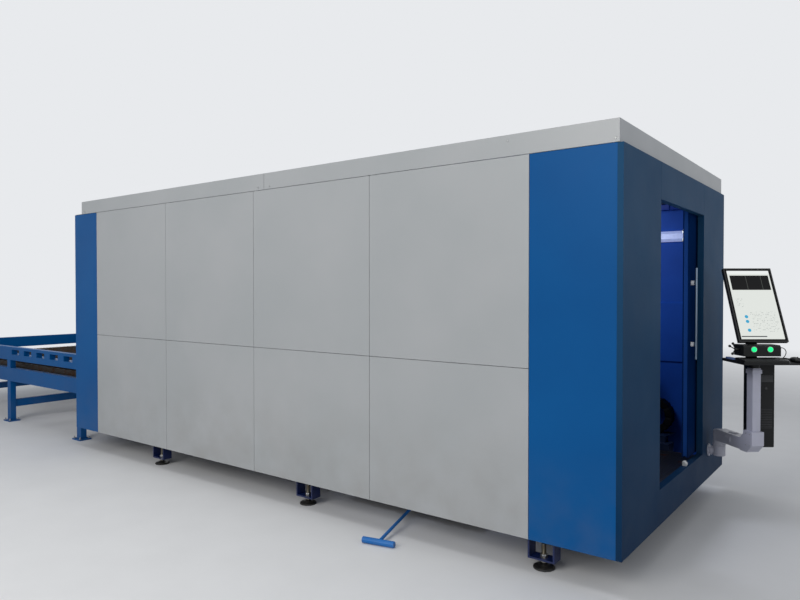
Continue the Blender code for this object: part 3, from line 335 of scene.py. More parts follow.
screenValues = {                    # places are shares of the glass: spans across, then up
    "corner": (-0.127, -0.107),     # of the glass, in the monitor's own frame
    "size": (0.286, 0.49),
    "pageArea": ((0.022, 0.978), (0.012, 0.988)),
    "headerFrom": 0.945,
    "drawingArea": ((0.065, 0.945), (0.707, 0.919)),
    "drawingLines": ((0.423, 0.431), (0.762, 0.770)),
    "markAreas": (((0.08, 0.24), (0.46, 0.58)), ((0.34, 0.93), (0.10, 0.40))),
    "markGrid": (30, 46),
    "dots": ((0.242, 0.324), (0.242, 0.257), (0.242, 0.135)),
    "dotRadius": 0.01095,
    "barArea": ((0.035, 0.60), (0.042, 0.056)),
    "page": (232, 236, 231),
    "header": (244, 247, 246),
    "drawing": (12, 12, 13),
    "line": (92, 96, 92),
    "dot": (58, 170, 212),
    "mark": (132, 142, 140),
    "bar": (70, 74, 78),
    "edge": (3, 3, 4),
    "glass": (8, 8, 9),
    "glow": 0.92,
}


def screenFinish():
    # a lit page: a dark drawing field high up, rows of faint marks, three round keys and a status bar
    value = screenValues
    finish = Finish("screenGlass", {
        "Base Color": tint(value["glass"]), "Emission Strength": value["glow"],
        "Roughness": 0.3, "Specular IOR Level": 0.15,
    })
    local = finish.localTo(tiltPlace)
    wide, tall = value["size"]
    across = (finish.axis("X", local) - value["corner"][0]) / wide
    up = (finish.axis("Z", local) - value["corner"][1]) / tall
    tone = finish.mix(up > value["headerFrom"], tint(value["page"]), tint(value["header"]))
    field = finish.patch(across, up, value["drawingArea"])
    tone = finish.mix(field, tone, tint(value["drawing"]))
    for span in value["drawingLines"]:
        tone = finish.mix(finish.band(across, *span) * field, tone, tint(value["line"]))
    columns, rows = value["markGrid"]
    rowShare = finish.node("ShaderNodeMath", {"operation": "FRACT"}, {0: up * rows})
    grid = finish.node("ShaderNodeCombineXYZ", {}, {0: across * columns, 1: up * rows})
    cells = finish.noise(1, 1.0, grid)
    marks = finish.band(rowShare, 0.3, 0.62) * (cells > 0.56)
    near, far = (finish.patch(across, up, area) for area in value["markAreas"])
    tone = finish.mix(marks * (near + far) * 0.6, tone, tint(value["mark"]))
    for dotAcross, dotUp in value["dots"]:
        reach = ((across - dotAcross) * wide) ** 2 + ((up - dotUp) * tall) ** 2
        tone = finish.mix(reach < value["dotRadius"] ** 2, tone, tint(value["dot"]))
    tone = finish.mix(finish.patch(across, up, value["barArea"]), tone, tint(value["bar"]))
    tone = finish.mix(finish.patch(across, up, value["pageArea"]), tint(value["edge"]), tone)
    finish.feed("Emission Color", tone)
    return finish.material


def footFinish():
    # a painted bracket round a bright rod, over a dull pad
    value = footValues
    finish = Finish("footParts", {})
    away = 9.0
    for x, y in value["places"]:
        centre = cabinPlace @ Vector((x, y, 0))
        reach = (finish.axis("X") - centre.x) ** 2 + (finish.axis("Y") - centre.y) ** 2
        away = finish.node("ShaderNodeMath", {"operation": "MINIMUM"}, {0: reach, 1: away})
    painted = (away > value["nutRadius"] ** 2) * (finish.axis("Z") > value["bracketFrom"])
    worn = finish.fade(finish.noise(30, 4.0), 0.35, 0.7)
    rod, pad, bracket = (finish.mix(worn, *map(tint, value[part])) for part in ("rod", "pad", "bracket"))
    steel = finish.mix(finish.axis("Z") < value["padTo"], rod, pad)
    finish.feed("Base Color", finish.mix(painted, steel, bracket))
    finish.feed("Metallic", (1 - painted) * 0.9)
    finish.feed("Roughness", worn * 0.15 + 0.32)
    finish.feed("Normal", finish.bump(finish.noise(240, 2.0), 0.15, 0.0005))
    return finish.material


def makeFinishes():
    made = {"screenGlass": screenFinish(), "footParts": footFinish()}
    makers = ((paint, paints), (steelFinish, steels), (plasticFinish, plastics), (glowFinish, glows))
    for maker, rows in makers:
        for name, value in rows.items():
            made[name] = maker(name, **value)
    return made


nodesOfFinish = {                   # each finish, and how its nodes' names start
    "enclosureWhite": ("front_panel", "back_panel", "roof_cover"),
    "enclosureBlue": ("front_column", "back_column", "left_end_panel", "exchange_frame"),
    # end face and header: the blue paint in painted shade and painted reflection
    "endBluePaintedShade": ("end_surround", "header_panel"),
    # door leaves: the blue paint in painted shade
    "leafBluePaintedShade": ("door_leaf",),
    "frameBlue": ("front_frame", "rear_frame", "bed_frame", "scrap_tray"),
    "linerBlue": ("front_liner", "rear_liner", "door_track"),
    "handleSteel": ("door_handle",),
    "guideWhite": ("sill_guide",),
    "lampWhite": ("interior_lamp",),
    "footParts": ("front_foot", "rear_foot"),
    "gantryWhite": ("gantry_beam",),
    "carriageGrey": ("y_carriage",),
    "headMetal": ("cutting_head",),
    "chainBlack": ("drag_chain",),
    "palletSteel": ("pallet_",),
    "wheelSteel": ("tray_wheels",),
    "drawbarBlue": ("drawbar",),
    "armWhite": ("console_bracket", "console_arm"),
    "consoleBlack": ("console_tray", "control_box", "computer_case"),
    "housingBlack": ("monitor_housing", "keyboard", "mouse"),
    "screenGlass": ("screen",),
    "buttonGreen": ("button_",),
}


def dressNodes():
    for nodeName, nodeObject in frame["nodes"].items():
        finish = next(finish for finish, starts in nodesOfFinish.items() if nodeName.startswith(starts))
        nodeObject.data.materials.clear()
        nodeObject.data.materials.append(finishes[finish])


# modelling, in steps

def onlySelect(*pieces):
    if bpy.context.object and bpy.context.object.mode != "OBJECT":
        bpy.ops.object.mode_set(mode="OBJECT")
    bpy.ops.object.select_all(action="DESELECT")
    for piece in pieces:
        piece.select_set(True)
    if pieces:
        bpy.context.view_layer.objects.active = pieces[0]


def startBox(low, high):
    low, high = Vector(low), Vector(high)
    onlySelect()
    bpy.ops.mesh.primitive_cube_add(size=1, location=(low + high) / 2)
    bpy.context.object.scale = high - low
    bpy.ops.object.transform_apply(location=True, rotation=True, scale=True)
    return bpy.context.object


def startRod(start, end, radius, sides=24):
    start, end = Vector(start), Vector(end)
    onlySelect()
    bpy.ops.mesh.primitive_cylinder_add(
        vertices=sides, radius=radius, depth=(end - start).length, location=(start + end) / 2,
        rotation=(end - start).to_track_quat("Z", "Y").to_euler(),
    )
    bpy.ops.object.transform_apply(location=True, rotation=True, scale=True)
    return bpy.context.object


def startBall(middle, radius, sides=20):
    onlySelect()
    bpy.ops.mesh.primitive_uv_sphere_add(
        segments=sides, ring_count=sides // 2, radius=radius, location=middle,
    )
    bpy.ops.object.transform_apply(location=True, rotation=True, scale=True)
    return bpy.context.object


def pickFaces(piece, test):                 # into edit mode, with the faces selected that test accepts
    onlySelect(piece)
    bpy.ops.object.mode_set(mode="EDIT")
    bpy.ops.mesh.select_mode(type="FACE")
    bpy.ops.mesh.select_all(action="DESELECT")
    shape = bmesh.from_edit_mesh(piece.data)
    for face in shape.faces:
        face.select_set(test(face))
    bmesh.update_edit_mesh(piece.data)


def facing(side, least=0.9):
    side = Vector(side)
    return lambda face: face.normal.dot(side) > least


def pushFaces(piece, test, inset, depth):   # inset the faces and move the middle out or in
    pickFaces(piece, test)
    bpy.ops.mesh.inset(thickness=inset, depth=depth)
    bpy.ops.object.mode_set(mode="OBJECT")


def growFaces(piece, test, step, size=(1, 1, 1)):       # extrude, then scale the new end
    pickFaces(piece, test)
    bpy.ops.mesh.extrude_region_move(TRANSFORM_OT_translate={"value": step})
    bpy.ops.transform.resize(value=size)
    bpy.ops.object.mode_set(mode="OBJECT")


def taperFaces(piece, test, size):          # scale the faces about their own middle
    pickFaces(piece, test)
    bpy.ops.transform.resize(value=size)
    bpy.ops.object.mode_set(mode="OBJECT")


def soften(piece, width, segments=2):
    onlySelect(piece)
    modifier = piece.modifiers.new("soften", "BEVEL")
    modifier.width, modifier.segments = width, segments
    modifier.limit_method, modifier.angle_limit = "ANGLE", math.radians(35)
    bpy.ops.object.modifier_apply(modifier=modifier.name)


def inRow(piece, count, step):
    onlySelect(piece)
    modifier = piece.modifiers.new("inRow", "ARRAY")
    modifier.count, modifier.use_relative_offset, modifier.use_constant_offset = count, False, True
    modifier.constant_offset_displace = step
    bpy.ops.object.modifier_apply(modifier=modifier.name)


def copyTo(piece, *moves):                  # copies with their own mesh, joined to the first
    copies = []
    for move in moves:
        onlySelect(piece)
        bpy.ops.object.duplicate(linked=False)
        bpy.context.object.location = move
        bpy.ops.object.transform_apply(location=True, rotation=False, scale=False)
        copies.append(bpy.context.object)
    return joined(piece, *copies)


def joined(*pieces):
    onlySelect(*pieces)
    if len(pieces) > 1:
        bpy.ops.object.join()
    return bpy.context.object


recordSlots = {row["slot"] for row in frame["record"]["materials"]}


def finishPiece(piece, name, body, finish, place=cabinPlace, angle=35):
    onlySelect(piece)
    piece.name = piece.data.name = name
    piece.matrix_world = place @ piece.matrix_world
    bpy.ops.object.transform_apply(location=True, rotation=True, scale=True)
    piece.data.materials.clear()
    piece.data.materials.append(finishes[finish])
    bpy.ops.object.shade_smooth_by_angle(angle=math.radians(angle))
    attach(piece, body)
    slot = "".join("_" + letter.lower() if letter.isupper() else letter for letter in finish)
    slot in recordSlots
    return piece


def domeScrew(place, side, radius):         # a pan head with a socket in it
    place, side = Vector(place), Vector(side)
    screw = startRod(place - side * 0.001, place + side * radius * 0.55, radius, 12)
    pickFaces(screw, facing(side))
    bpy.ops.mesh.bevel(offset=radius * 0.3, segments=2)
    bpy.ops.object.mode_set(mode="OBJECT")
    pushFaces(screw, facing(side, 0.99), radius * 0.2, 0)
    pushFaces(screw, facing(side, 0.99), 0.0002, -radius * 0.3)
    return screw


def hexNut(low, high, radius):              # a nut with its corners turned off
    nut = startRod(low, high, radius, 6)
    soften(nut, radius * 0.09, 2)
    return nut


# feet

footValues = {
    "places": [(x, y) for y in (0.115, 2.02) for x in (-0.457, -2.239, -4.004)],
    "nutRadius": 0.0215,
    "nuts": ((0.0354, 0.05), (0.06, 0.0782)),       # below and above the bracket's web, from and to
    "threadFrom": 0.078,
    "threadTurns": 13,
    "threadPitch": 0.004,
    "threadRoot": 0.0116,
    "threadCrest": 1.14,            # times the root's radius
    "padRim": (0.0005, 0.0095),
    "padRadius": 0.0584,
    "padTo": 0.03,                  # heights at which one finish gives way to the next
    "bracketFrom": 0.048,
    "rod": ((168, 164, 152), (120, 114, 102)),      # colours, fresh and worn
    "pad": ((64, 63, 62), (88, 86, 82)),
    "bracket": ((16, 34, 84), (12, 26, 66)),
}


def makeThreads():
    value = footValues
    x, y = value["places"][0]
    start, pitch, turns = value["threadFrom"], value["threadPitch"], value["threadTurns"]
    rod = startRod((x, y, start), (x, y, start + turns * pitch), value["threadRoot"], 16)
    for half in range(1, 2 * turns):            # a ring at each crest and root
        pickFaces(rod, lambda face: True)
        bpy.ops.mesh.bisect(plane_co=(x, y, start + half * pitch / 2), plane_no=(0, 0, 1))
        bpy.ops.object.mode_set(mode="OBJECT")
    for corner in rod.data.vertices:            # the crest of each turn stands proud
        if round((corner.co.z - start) / pitch * 2) % 2:
            corner.co.x = x + (corner.co.x - x) * value["threadCrest"]
            corner.co.y = y + (corner.co.y - y) * value["threadCrest"]
    rods = copyTo(rod, *((other[0] - x, other[1] - y, 0) for other in value["places"][1:]))
    finishPiece(rods, "footThreads", "machine", "threadSteel")


def makeFootDetails():
    value = footValues
    nuts = []
    for x, y in value["places"]:
        nuts += [hexNut((x, y, low), (x, y, high), value["nutRadius"]) for low, high in value["nuts"]]
    finishPiece(joined(*nuts), "footNuts", "machine", "fixingSteel")
    makeThreads()
    low, high = value["padRim"]
    pads = []
    for x, y in value["places"]:
        ring = startRod((x, y, low), (x, y, high), value["padRadius"], 40)
        soften(ring, 0.002, 2)
        pushFaces(ring, facing((0, 0, 1), 0.99), 0.006, -0.002)
        pads.append(ring)
    finishPiece(joined(*pads), "footPadRims", "machine", "rubberBlack")


# doorway: step plate, door edge strips, beam and light bar clips

stepPlateValues = {
    "plate": ((-0.615, 0.20, 0.2967), (-0.082, 1.935, 0.2982)),
    "barSize": (0.022, 0.0055, 0.0016),
    "barStart": (-0.593, 0.224, 0.298),
    "barPitch": 0.033,
    "barCounts": (15, 51),
}


def makeStepPlate():
    value = stepPlateValues
    plate = startBox(*value["plate"])
    soften(plate, 0.0004, 1)
    long, wide, tall = value["barSize"]
    pitch, (across, along) = value["barPitch"], value["barCounts"]
    bars = []
    for turn, slip in ((45, 0.0), (-45, pitch / 2)):
        bar = startBox((-long / 2, -wide / 2, 0), (long / 2, wide / 2, tall))
        taperFaces(bar, facing((0, 0, 1)), (0.7, 0.35, 1))
        bar.rotation_euler.z = math.radians(turn)
        bar.location = Vector(value["barStart"]) + Vector((slip, slip, 0))
        onlySelect(bar)
        bpy.ops.object.transform_apply(location=True, rotation=True, scale=True)
        inRow(bar, across, (pitch, 0, 0))
        inRow(bar, along, (0, pitch, 0))
        bars.append(bar)
    finishPiece(joined(plate, *bars), "stepPlate", "machine", "plateDark")


doorwayValues = {
    "beams": (
        ((-2.9, 2.124, 2.112), (-0.36, 2.171, 2.156)),
        ((-0.356, 2.124, 2.112), (-0.11, 2.171, 2.156)),
    ),
    "strips": (                     # name, body, corners and the side that shows
        ("rightLeafSeal", "right_door", (-0.082, 1.4505, 0.392), (-0.058, 1.456, 2.03), -1),
        ("leftLeafSeal", "left_door", (-0.082, 0.696, 0.392), (-0.058, 0.7015, 2.03), 1),
    ),
    "clips": (-1.95, -1.1, -0.25),
    "clipSize": (0.04, 0.0427, 0.089),
    "clipLow": (2.1405, 1.8655),
}


def makeDoorwayPieces():
    value = doorwayValues
    parts = []
    for low, high in value["beams"]:
        beam = startBox(low, high)
        pushFaces(beam, facing((0, -1, 0)), 0.004, -0.003)
        soften(beam, 0.0015, 2)
        parts.append(beam)
    finishPiece(joined(*parts), "wallBeam", "machine", "beamBlue")
    for name, body, low, high, side in value["strips"]:
        strip = startBox(low, high)
        pushFaces(strip, facing((0, side, 0)), 0.006, -0.001)
        soften(strip, 0.001, 2)
        finishPiece(strip, name, body, "leafEdge")
    clips = []
    for x in value["clips"]:
        low = Vector((x - value["clipSize"][0] / 2, *value["clipLow"]))
        clip = startBox(low, low + Vector(value["clipSize"]))
        pushFaces(clip, facing((0, -1, 0)), 0.006, 0.0015)
        soften(clip, 0.002, 2)
        clips.append(clip)
    finishPiece(joined(*clips), "lightBarClips", "machine", "fixingSteel")


# console: a box is given by two corners, a rod by its ends, radius and number of sides

def makeSlots(corners, count, pitch, radius=0.0005):        # a column of slots
    slot = startBox(*corners)
    soften(slot, radius, 1)
    inRow(slot, count, (0, 0, pitch))
    return slot


keyboardValues = {
    "key": ((-0.1285, -0.139, 1.0585), (-0.1133, -0.1218, 1.0628)),
    "counts": (14, 5),
    "steps": ((0.0191, 0, 0), (0, 0.0205, 0.0023)),
}


def makeKeyboardKeys():
    value = keyboardValues
    key = startBox(*value["key"])
    taperFaces(key, facing((0, 0, 1)), (0.8, 0.8, 1))
    soften(key, 0.0008, 2)
    for count, step in zip(value["counts"], value["steps"]):
        inRow(key, count, step)
    finishPiece(key, "keyboardKeys", "console", "keyBlack", headPlace)


handWheelValues = {
    "hub": (-0.138, -0.035, 1.122),
    "stemFrom": -0.1175,
    "radii": (0.009, 0.0034, 0.0085),       # stem, arms, knobs
    "arms": [(-0.036, -0.006, 0.020), (-0.016, -0.004, 0.034), (-0.014, 0.004, -0.026)],
}


def makeHandWheel():
    value = handWheelValues
    hub = Vector(value["hub"])
    stemRadius, armRadius, knobRadius = value["radii"]
    stem = startRod((value["stemFrom"], hub.y, hub.z), hub, stemRadius, 20)
    pushFaces(stem, facing((-1, 0, 0)), 0.002, 0.003)
    parts = [stem]
    for arm in map(Vector, value["arms"]):
        bar = startRod(hub, hub + arm, armRadius, 12)
        growFaces(bar, facing(arm.normalized()), arm.normalized() * 0.004, (0.6, 0.6, 0.6))
        parts += [bar, startBall(hub + arm * 1.08, knobRadius, 16)]
    finishPiece(joined(*parts), "handWheel", "console", "housingBlack", headPlace)


cableValues = {
    "loop": [
        (0.115, -0.06, 1.128), (0.130, -0.064, 1.136), (0.150, -0.068, 1.134), (0.163, -0.070, 1.118),
        (0.166, -0.068, 1.098), (0.160, -0.060, 1.076), (0.148, -0.045, 1.058), (0.132, -0.030, 1.0525),
    ],
    "radius": 0.0024,
}


def makeCable():
    points, radius = cableValues["loop"], cableValues["radius"]
    curve = bpy.data.curves.new("penCable", "CURVE")
    curve.dimensions, curve.bevel_depth, curve.bevel_resolution = "3D", radius, 3
    curve.use_fill_caps = True
    line = curve.splines.new("NURBS")
    line.points.add(len(points) - 1)
    line.use_endpoint_u, line.order_u, line.resolution_u = True, 4, 8
    for point, place in zip(line.points, points):
        point.co = (*place, 1)
    cable = bpy.data.objects.new("penCable", curve)
    scene.collection.objects.link(cable)
    onlySelect(cable)
    bpy.ops.object.convert(target="MESH")
    cable = bpy.context.object
    finishPiece(cable, "penCable", "console", "rubberBlack", headPlace, 60)


trayValues = {
    "gripPad": ((-0.1385, -0.018, 1.0473), (-0.112, 0.088, 1.0613)),
    "mouseWheel": ((0.2085, -0.112, 1.0755), (0.2125, -0.112, 1.0755), 0.0065, 24),
    "mouseSplit": ((0.2096, -0.139, 1.0675), (0.2104, -0.118, 1.0775)),
    "buttons": (-0.054, 0.0475),
    "buttonRing": (-0.1025, -0.0992, 1.1265, 0.0195),       # front, back, height, radius
}


def makeTrayItems():
    value = trayValues
    pad = startBox(*value["gripPad"])
    growFaces(pad, facing((0, 0, 1)), (0, 0, 0.003), (0.8, 0.94, 1))
    soften(pad, 0.0012, 2)
    finishPiece(pad, "gripPad", "console", "noteBlue", headPlace)
    wheel = startRod(*value["mouseWheel"])
    soften(wheel, 0.0012, 2)
    split = startBox(*value["mouseSplit"])
    soften(split, 0.0003, 1)
    finishPiece(joined(wheel, split), "mouseWheel", "console", "keyBlack", headPlace)
    front, back, height, radius = value["buttonRing"]
    rings = []
    for x in value["buttons"]:
        ring = startRod((x, front, height), (x, back, height), radius, 32)
        pushFaces(ring, facing((0, -1, 0)), 0.0038, 0)
        pickFaces(ring, lambda face: face.normal.y < -0.9 and face.calc_area() > 0.0005)
        bpy.ops.mesh.extrude_region_move(TRANSFORM_OT_translate={"value": (0, 0.003, 0)})
        bpy.ops.object.mode_set(mode="OBJECT")
        soften(ring, 0.0006, 1)
        rings.append(ring)
    finishPiece(joined(*rings), "buttonRings", "console", "fixingSteel", headPlace)


armValues = {
    "cheek": (0.0424, 0.0448),
    "plate": ((0.336, 0.384), (0.500, 0.585)),
    "screws": [(x, z) for x in (0.342, 0.378) for z in (0.506, 0.579)],
    "screwRadius": 0.0034,
    "ring": ((0, 0, 0.4275), (0, 0, 0.4345), 0.0426, 40),
    "cap": ((0, 0, 0.5245), (0, 0, 0.531), 0.034, 40),
}


def makeArmDetails():
    # elbow cover with four screws on each cheek, and the ring and cap of the column
    value = armValues
    (x0, x1), (z0, z1) = value["plate"]
    inner, outer = value["cheek"]
    radius = value["screwRadius"]
    plates, screws = [], []
    for side in (-1, 1):
        y0, y1 = sorted((side * inner, side * outer))
        plate = startBox((x0, y0, z0), (x1, y1, z1))
        soften(plate, 0.0009, 1)
        plates.append(plate)
        screws += [domeScrew((x, side * outer, z), (0, side, 0), radius) for x, z in value["screws"]]
    ring = startRod(*value["ring"])
    soften(ring, 0.0015, 2)
    cap = startRod(*value["cap"])
    pushFaces(cap, facing((0, 0, 1)), 0.006, -0.001)
    soften(cap, 0.0015, 2)
    finishPiece(joined(*plates, ring, cap), "elbowPlates", "swing_arm", "armWhite", armPlace)
    finishPiece(joined(*screws), "elbowScrews", "swing_arm", "fixingSteel", armPlace)


caseValues = {
    "slot": ((0.0725, 0.0608, 0.60), (0.1525, 0.0626, 0.604)),
    "slotRow": (12, 0.011),                 # count and pitch
    "cover": ((0.068, 0.0600, 0.90), (0.157, 0.0630, 0.945)),
    "key": ((0.1125, 0.0630, 0.86), (0.1125, 0.0600, 0.86), 0.008, 24),
    "sideSlot": ((0.1695, 0.09, 0.53), (0.1708, 0.21, 0.534)),
    "sideSlotRow": (18, 0.014),
}


def makeCaseDetails():
    # slots, a drive cover and a round key on the computer case
    value = caseValues
    slots = makeSlots(value["slot"], *value["slotRow"], 0.0006)
    cover = startBox(*value["cover"])
    pushFaces(cover, facing((0, -1, 0)), 0.003, -0.001)
    soften(cover, 0.001, 2)
    key = startRod(*value["key"])
    pushFaces(key, facing((0, -1, 0)), 0.0015, -0.0008)
    sideSlots = makeSlots(value["sideSlot"], *value["sideSlotRow"])
    finishPiece(joined(slots, cover, key, sideSlots), "caseDetails", "console", "keyBlack", headPlace)


monitorValues = {
    "hump": ((-0.088, -0.0545, 0.0), (0.120, -0.0395, 0.22)),
    "slot": ((-0.058, -0.0545, 0.235), (0.090, -0.0530, 0.239)),
    "slotRow": (9, 0.009),
}


def makeMonitorBack():
    value = monitorValues
    hump = startBox(*value["hump"])
    taperFaces(hump, facing((0, 1, 0)), (0.86, 1, 0.9))
    soften(hump, 0.004, 3)
    slots = makeSlots(value["slot"], *value["slotRow"])
    finishPiece(joined(hump, slots), "monitorBack", "monitor", "housingBlack", tiltPlace)


# cabin: door handle ferrules, screws and lifting plugs

bossValues = {
    "handles": (("right_door", "rightDoorBosses", 1.51), ("left_door", "leftDoorBosses", 0.642)),
    "heights": (1.136, 1.545),
    "span": (-0.0496, -0.030),
    "radius": 0.0155,
}


def makeHandleBosses():
    value = bossValues
    back, front = value["span"]
    for body, name, y in value["handles"]:
        bosses = []
        for z in value["heights"]:
            boss = startRod((back, y, z), (front, y, z), value["radius"], 32)
            pickFaces(boss, facing((1, 0, 0)))
            bpy.ops.mesh.bevel(offset=0.005, segments=4)
            bpy.ops.object.mode_set(mode="OBJECT")
            bosses.append(boss)
        finishPiece(joined(*bosses), name, body, "bossBright")


screwValues = {
    "radius": 0.0062,
    "cornice": [(-0.622, 2.296), (-0.04, 2.232), (-2.50, 2.232), (-2.62, 2.232), (-5.06, 2.232)],
    "rows": [                       # lowest screw of each row, and the side it faces
        *(((x, 2.2552, 0.235), (0, 1, 0)) for x in (-0.517, -0.473, -2.697, -2.653, -4.877, -4.833)),
        *(((-5.2502, y, 0.235), (-1, 0, 0)) for y in (0.055, 2.2)),
    ],
    "rowCount": 9,
    "rowPitch": 0.2375,
}


def makeScrews():
    value = screwValues
    radius = value["radius"]
    screws = [domeScrew((x, -0.0002, z), (0, -1, 0), radius) for x, z in value["cornice"]]
    finishPiece(joined(*screws), "corniceScrews", "machine", "fixingSteel")
    rows = []
    for place, side in value["rows"]:
        row = domeScrew(place, side, radius)
        inRow(row, value["rowCount"], (0, 0, value["rowPitch"]))
        rows.append(row)
    finishPiece(joined(*rows), "backScrews", "machine", "fixingSteel")


plugValues = {
    "places": [(x, y) for x in (-0.55, -2.15, -3.0, -4.7) for y in (0.35, 1.9)],
    "span": (2.3281, 2.331),
    "radius": 0.035,
}


def makePlugs():
    value = plugValues
    low, high = value["span"]
    plugs = []
    for x, y in value["places"]:
        plug = startRod((x, y, low), (x, y, high), value["radius"], 32)
        pushFaces(plug, facing((0, 0, 1)), 0.012, 0.0015)
        soften(plug, 0.0008, 1)
        plugs.append(plug)
    finishPiece(joined(*plugs), "liftingPlugs", "machine", "enclosureWhite")


# pallets and exchange table

slatValues = {
    "starts": {"upper": (-4.25, 0.915), "lower": (-8.57, 0.675)},
    "slatPitch": 0.1270833,
    "slatCount": 25,
    "toothAlong": (0.0002, 0.0038),         # from the slat's near face
    "toothAcross": (0.2776, 0.2974),
    "toothPitch": 0.02,
    "toothCount": 79,
    "toothHeight": 0.008,
}


def makeSlatTeeth():
    value = slatValues
    (x0, x1), (y0, y1) = value["toothAlong"], value["toothAcross"]
    for level, (x, z) in value["starts"].items():
        tooth = startBox((x + x0, y0, z - 0.001), (x + x1, y1, z + value["toothHeight"]))
        taperFaces(tooth, facing((0, 0, 1)), (1, 0.12, 1))
        inRow(tooth, value["toothCount"], (0, value["toothPitch"], 0))
        inRow(tooth, value["slatCount"], (value["slatPitch"], 0, 0))
        finishPiece(tooth, f"{level}SlatTeeth", f"{level}_pallet", "palletSteel")


boltValues = {
    "places": [
        (x + dx, y + dy, 0.012) for x in (-5.4743, -7.0543, -8.7343) for y in (0.165, 1.97)
        for dx in (-0.056, 0.056) for dy in (-0.046, 0.046)
    ],
    "washer": (0.0, 0.002, 0.012),          # from, to, radius
    "stud": (0.0, 0.022, 0.005),
    "nut": (0.002, 0.011, 0.0095),
}


def makeAnchorBolts():
    value = boltValues
    up = Vector((0, 0, 1))
    bolts = []
    for place in map(Vector, value["places"]):
        low, high, radius = value["washer"]
        washer = startRod(place + up * low, place + up * high, radius, 24)
        soften(washer, 0.0006, 1)
        low, high, radius = value["stud"]
        stud = startRod(place + up * low, place + up * high, radius, 12)
        soften(stud, 0.001, 1)
        low, high, radius = value["nut"]
        bolts += [washer, hexNut(place + up * low, place + up * high, radius), stud]
    finishPiece(joined(*bolts), "anchorBolts", "machine", "fixingSteel")


# gantry

rackValues = {
    "low": (-0.9835, 0.16, 1.152),
    "high": (-0.9695, 1.97, 1.176),
    "toothSize": (0.0045, 0.0085, 0.024),
    "toothPitch": 0.012,
}


def makeCrossRack():
    value = rackValues
    low, high, pitch = Vector(value["low"]), Vector(value["high"]), value["toothPitch"]
    bar = startBox(low + Vector((0.004, 0, 0)), high)
    soften(bar, 0.0006, 1)
    tooth = startBox(low, low + Vector(value["toothSize"]))
    taperFaces(tooth, facing((-1, 0, 0)), (1, 0.45, 1))
    inRow(tooth, int((high.y - low.y) / pitch), (0, pitch, 0))
    finishPiece(joined(bar, tooth), "crossRack", "gantry", "headMetal")


driveValues = {
    "drives": (("nearDrive", 0.135), ("farDrive", 2.0)),
    "middle": (-0.86, 1.2882),              # along, and the foot of the flange
    "flangeSize": (0.10, 0.08, 0.0568),
    "finSize": (0.074, 0.074, 0.004),
    "finFrom": 0.0608,
    "finPitch": 0.0085,
    "finCount": 12,
    "coreSize": (0.064, 0.064, 0.11),
}


def makeDrives():
    value = driveValues
    x, foot = value["middle"]
    flangeTop = foot + value["flangeSize"][2]

    def standing(size, y, z):               # a box on its middle and foot
        long, wide, tall = size
        return startBox((x - long / 2, y - wide / 2, z), (x + long / 2, y + wide / 2, z + tall))

    for name, y in value["drives"]:
        flange = standing(value["flangeSize"], y, foot)
        pushFaces(flange, facing((0, 0, 1)), 0.008, 0.004)
        soften(flange, 0.003, 2)
        fin = standing(value["finSize"], y, foot + value["finFrom"])
        soften(fin, 0.001, 1)
        inRow(fin, value["finCount"], (0, 0, value["finPitch"]))
        core = standing(value["coreSize"], y, flangeTop)
        growFaces(core, facing((0, 0, 1)), (0, 0, 0.018), (0.8, 0.8, 1))
        soften(core, 0.004, 2)
        finishPiece(joined(flange, fin, core), name, "gantry", "housingBlack")


headValues = {
    "axis": (-1.097, 1.0, 0),
    "rings": ((1.146, 0.0575), (1.262, 0.0575), (1.352, 0.0575), (1.402, 0.026), (1.474, 0.0245)),
    "ringHeight": 0.008,
    "drawer": ((-0.066, -0.026, 1.168), (-0.045, 0.026, 1.206)),
    "knob": ((-0.066, 0, 1.187), (-0.082, 0, 1.187), 0.007, 24),
    "tip": ((0, 0, 1.033), (0, 0, 1.043), 0.0235, 32),
}


def makeHeadFittings():
    value = headValues
    place = cabinPlace @ Matrix.Translation(value["axis"])
    rings = []
    for z, radius in value["rings"]:
        ring = startRod((0, 0, z), (0, 0, z + value["ringHeight"]), radius, 40)
        soften(ring, 0.0022, 3)
        rings.append(ring)
    drawer = startBox(*value["drawer"])
    pushFaces(drawer, facing((-1, 0, 0)), 0.006, 0.003)
    soften(drawer, 0.0018, 2)
    knob = startRod(*value["knob"])
    growFaces(knob, facing((-1, 0, 0)), (-0.004, 0, 0), (1.25, 1.25, 1.25))
    soften(knob, 0.001, 2)
    tip = startRod(*value["tip"])
    soften(tip, 0.003, 2)
    finishPiece(joined(*rings, drawer, knob, tip), "headFittings", "head", "fixingSteel", place)


# scrap trolley

ribValues = {
    "starts": (-1.945, -1.42),
    "sides": ((0.40, -1), (1.90, 1)),
    "size": (0.02, 0.007, 0.084),
    "foot": 0.066,
    "count": 5,
    "pitch": 0.10,
}


def makeTrayRibs():
    value = ribValues
    (long, deep, tall), foot = value["size"], value["foot"]
    ribs = []
    for x in value["starts"]:
        for y, side in value["sides"]:
            near, far = sorted((y, y + side * deep))
            rib = startBox((x, near, foot), (x + long, far, foot + tall))
            taperFaces(rib, facing((0, side, 0)), (0.6, 1, 0.9))
            soften(rib, 0.001, 1)
            inRow(rib, value["count"], (value["pitch"], 0, 0))
            ribs.append(rib)
    finishPiece(joined(*ribs), "trayRibs", "scrap_trolley", "frameBlue")


wheelCapValues = {
    "wheelsets": (("front_wheelset", "frontWheelCaps", 0.56), ("rear_wheelset", "rearWheelCaps", 1.74)),
    "faces": ((-2.026, -1), (-0.954, 1)),   # and the side each looks to
    "height": 0.04,
    "depth": 0.0035,
    "radius": 0.017,
}


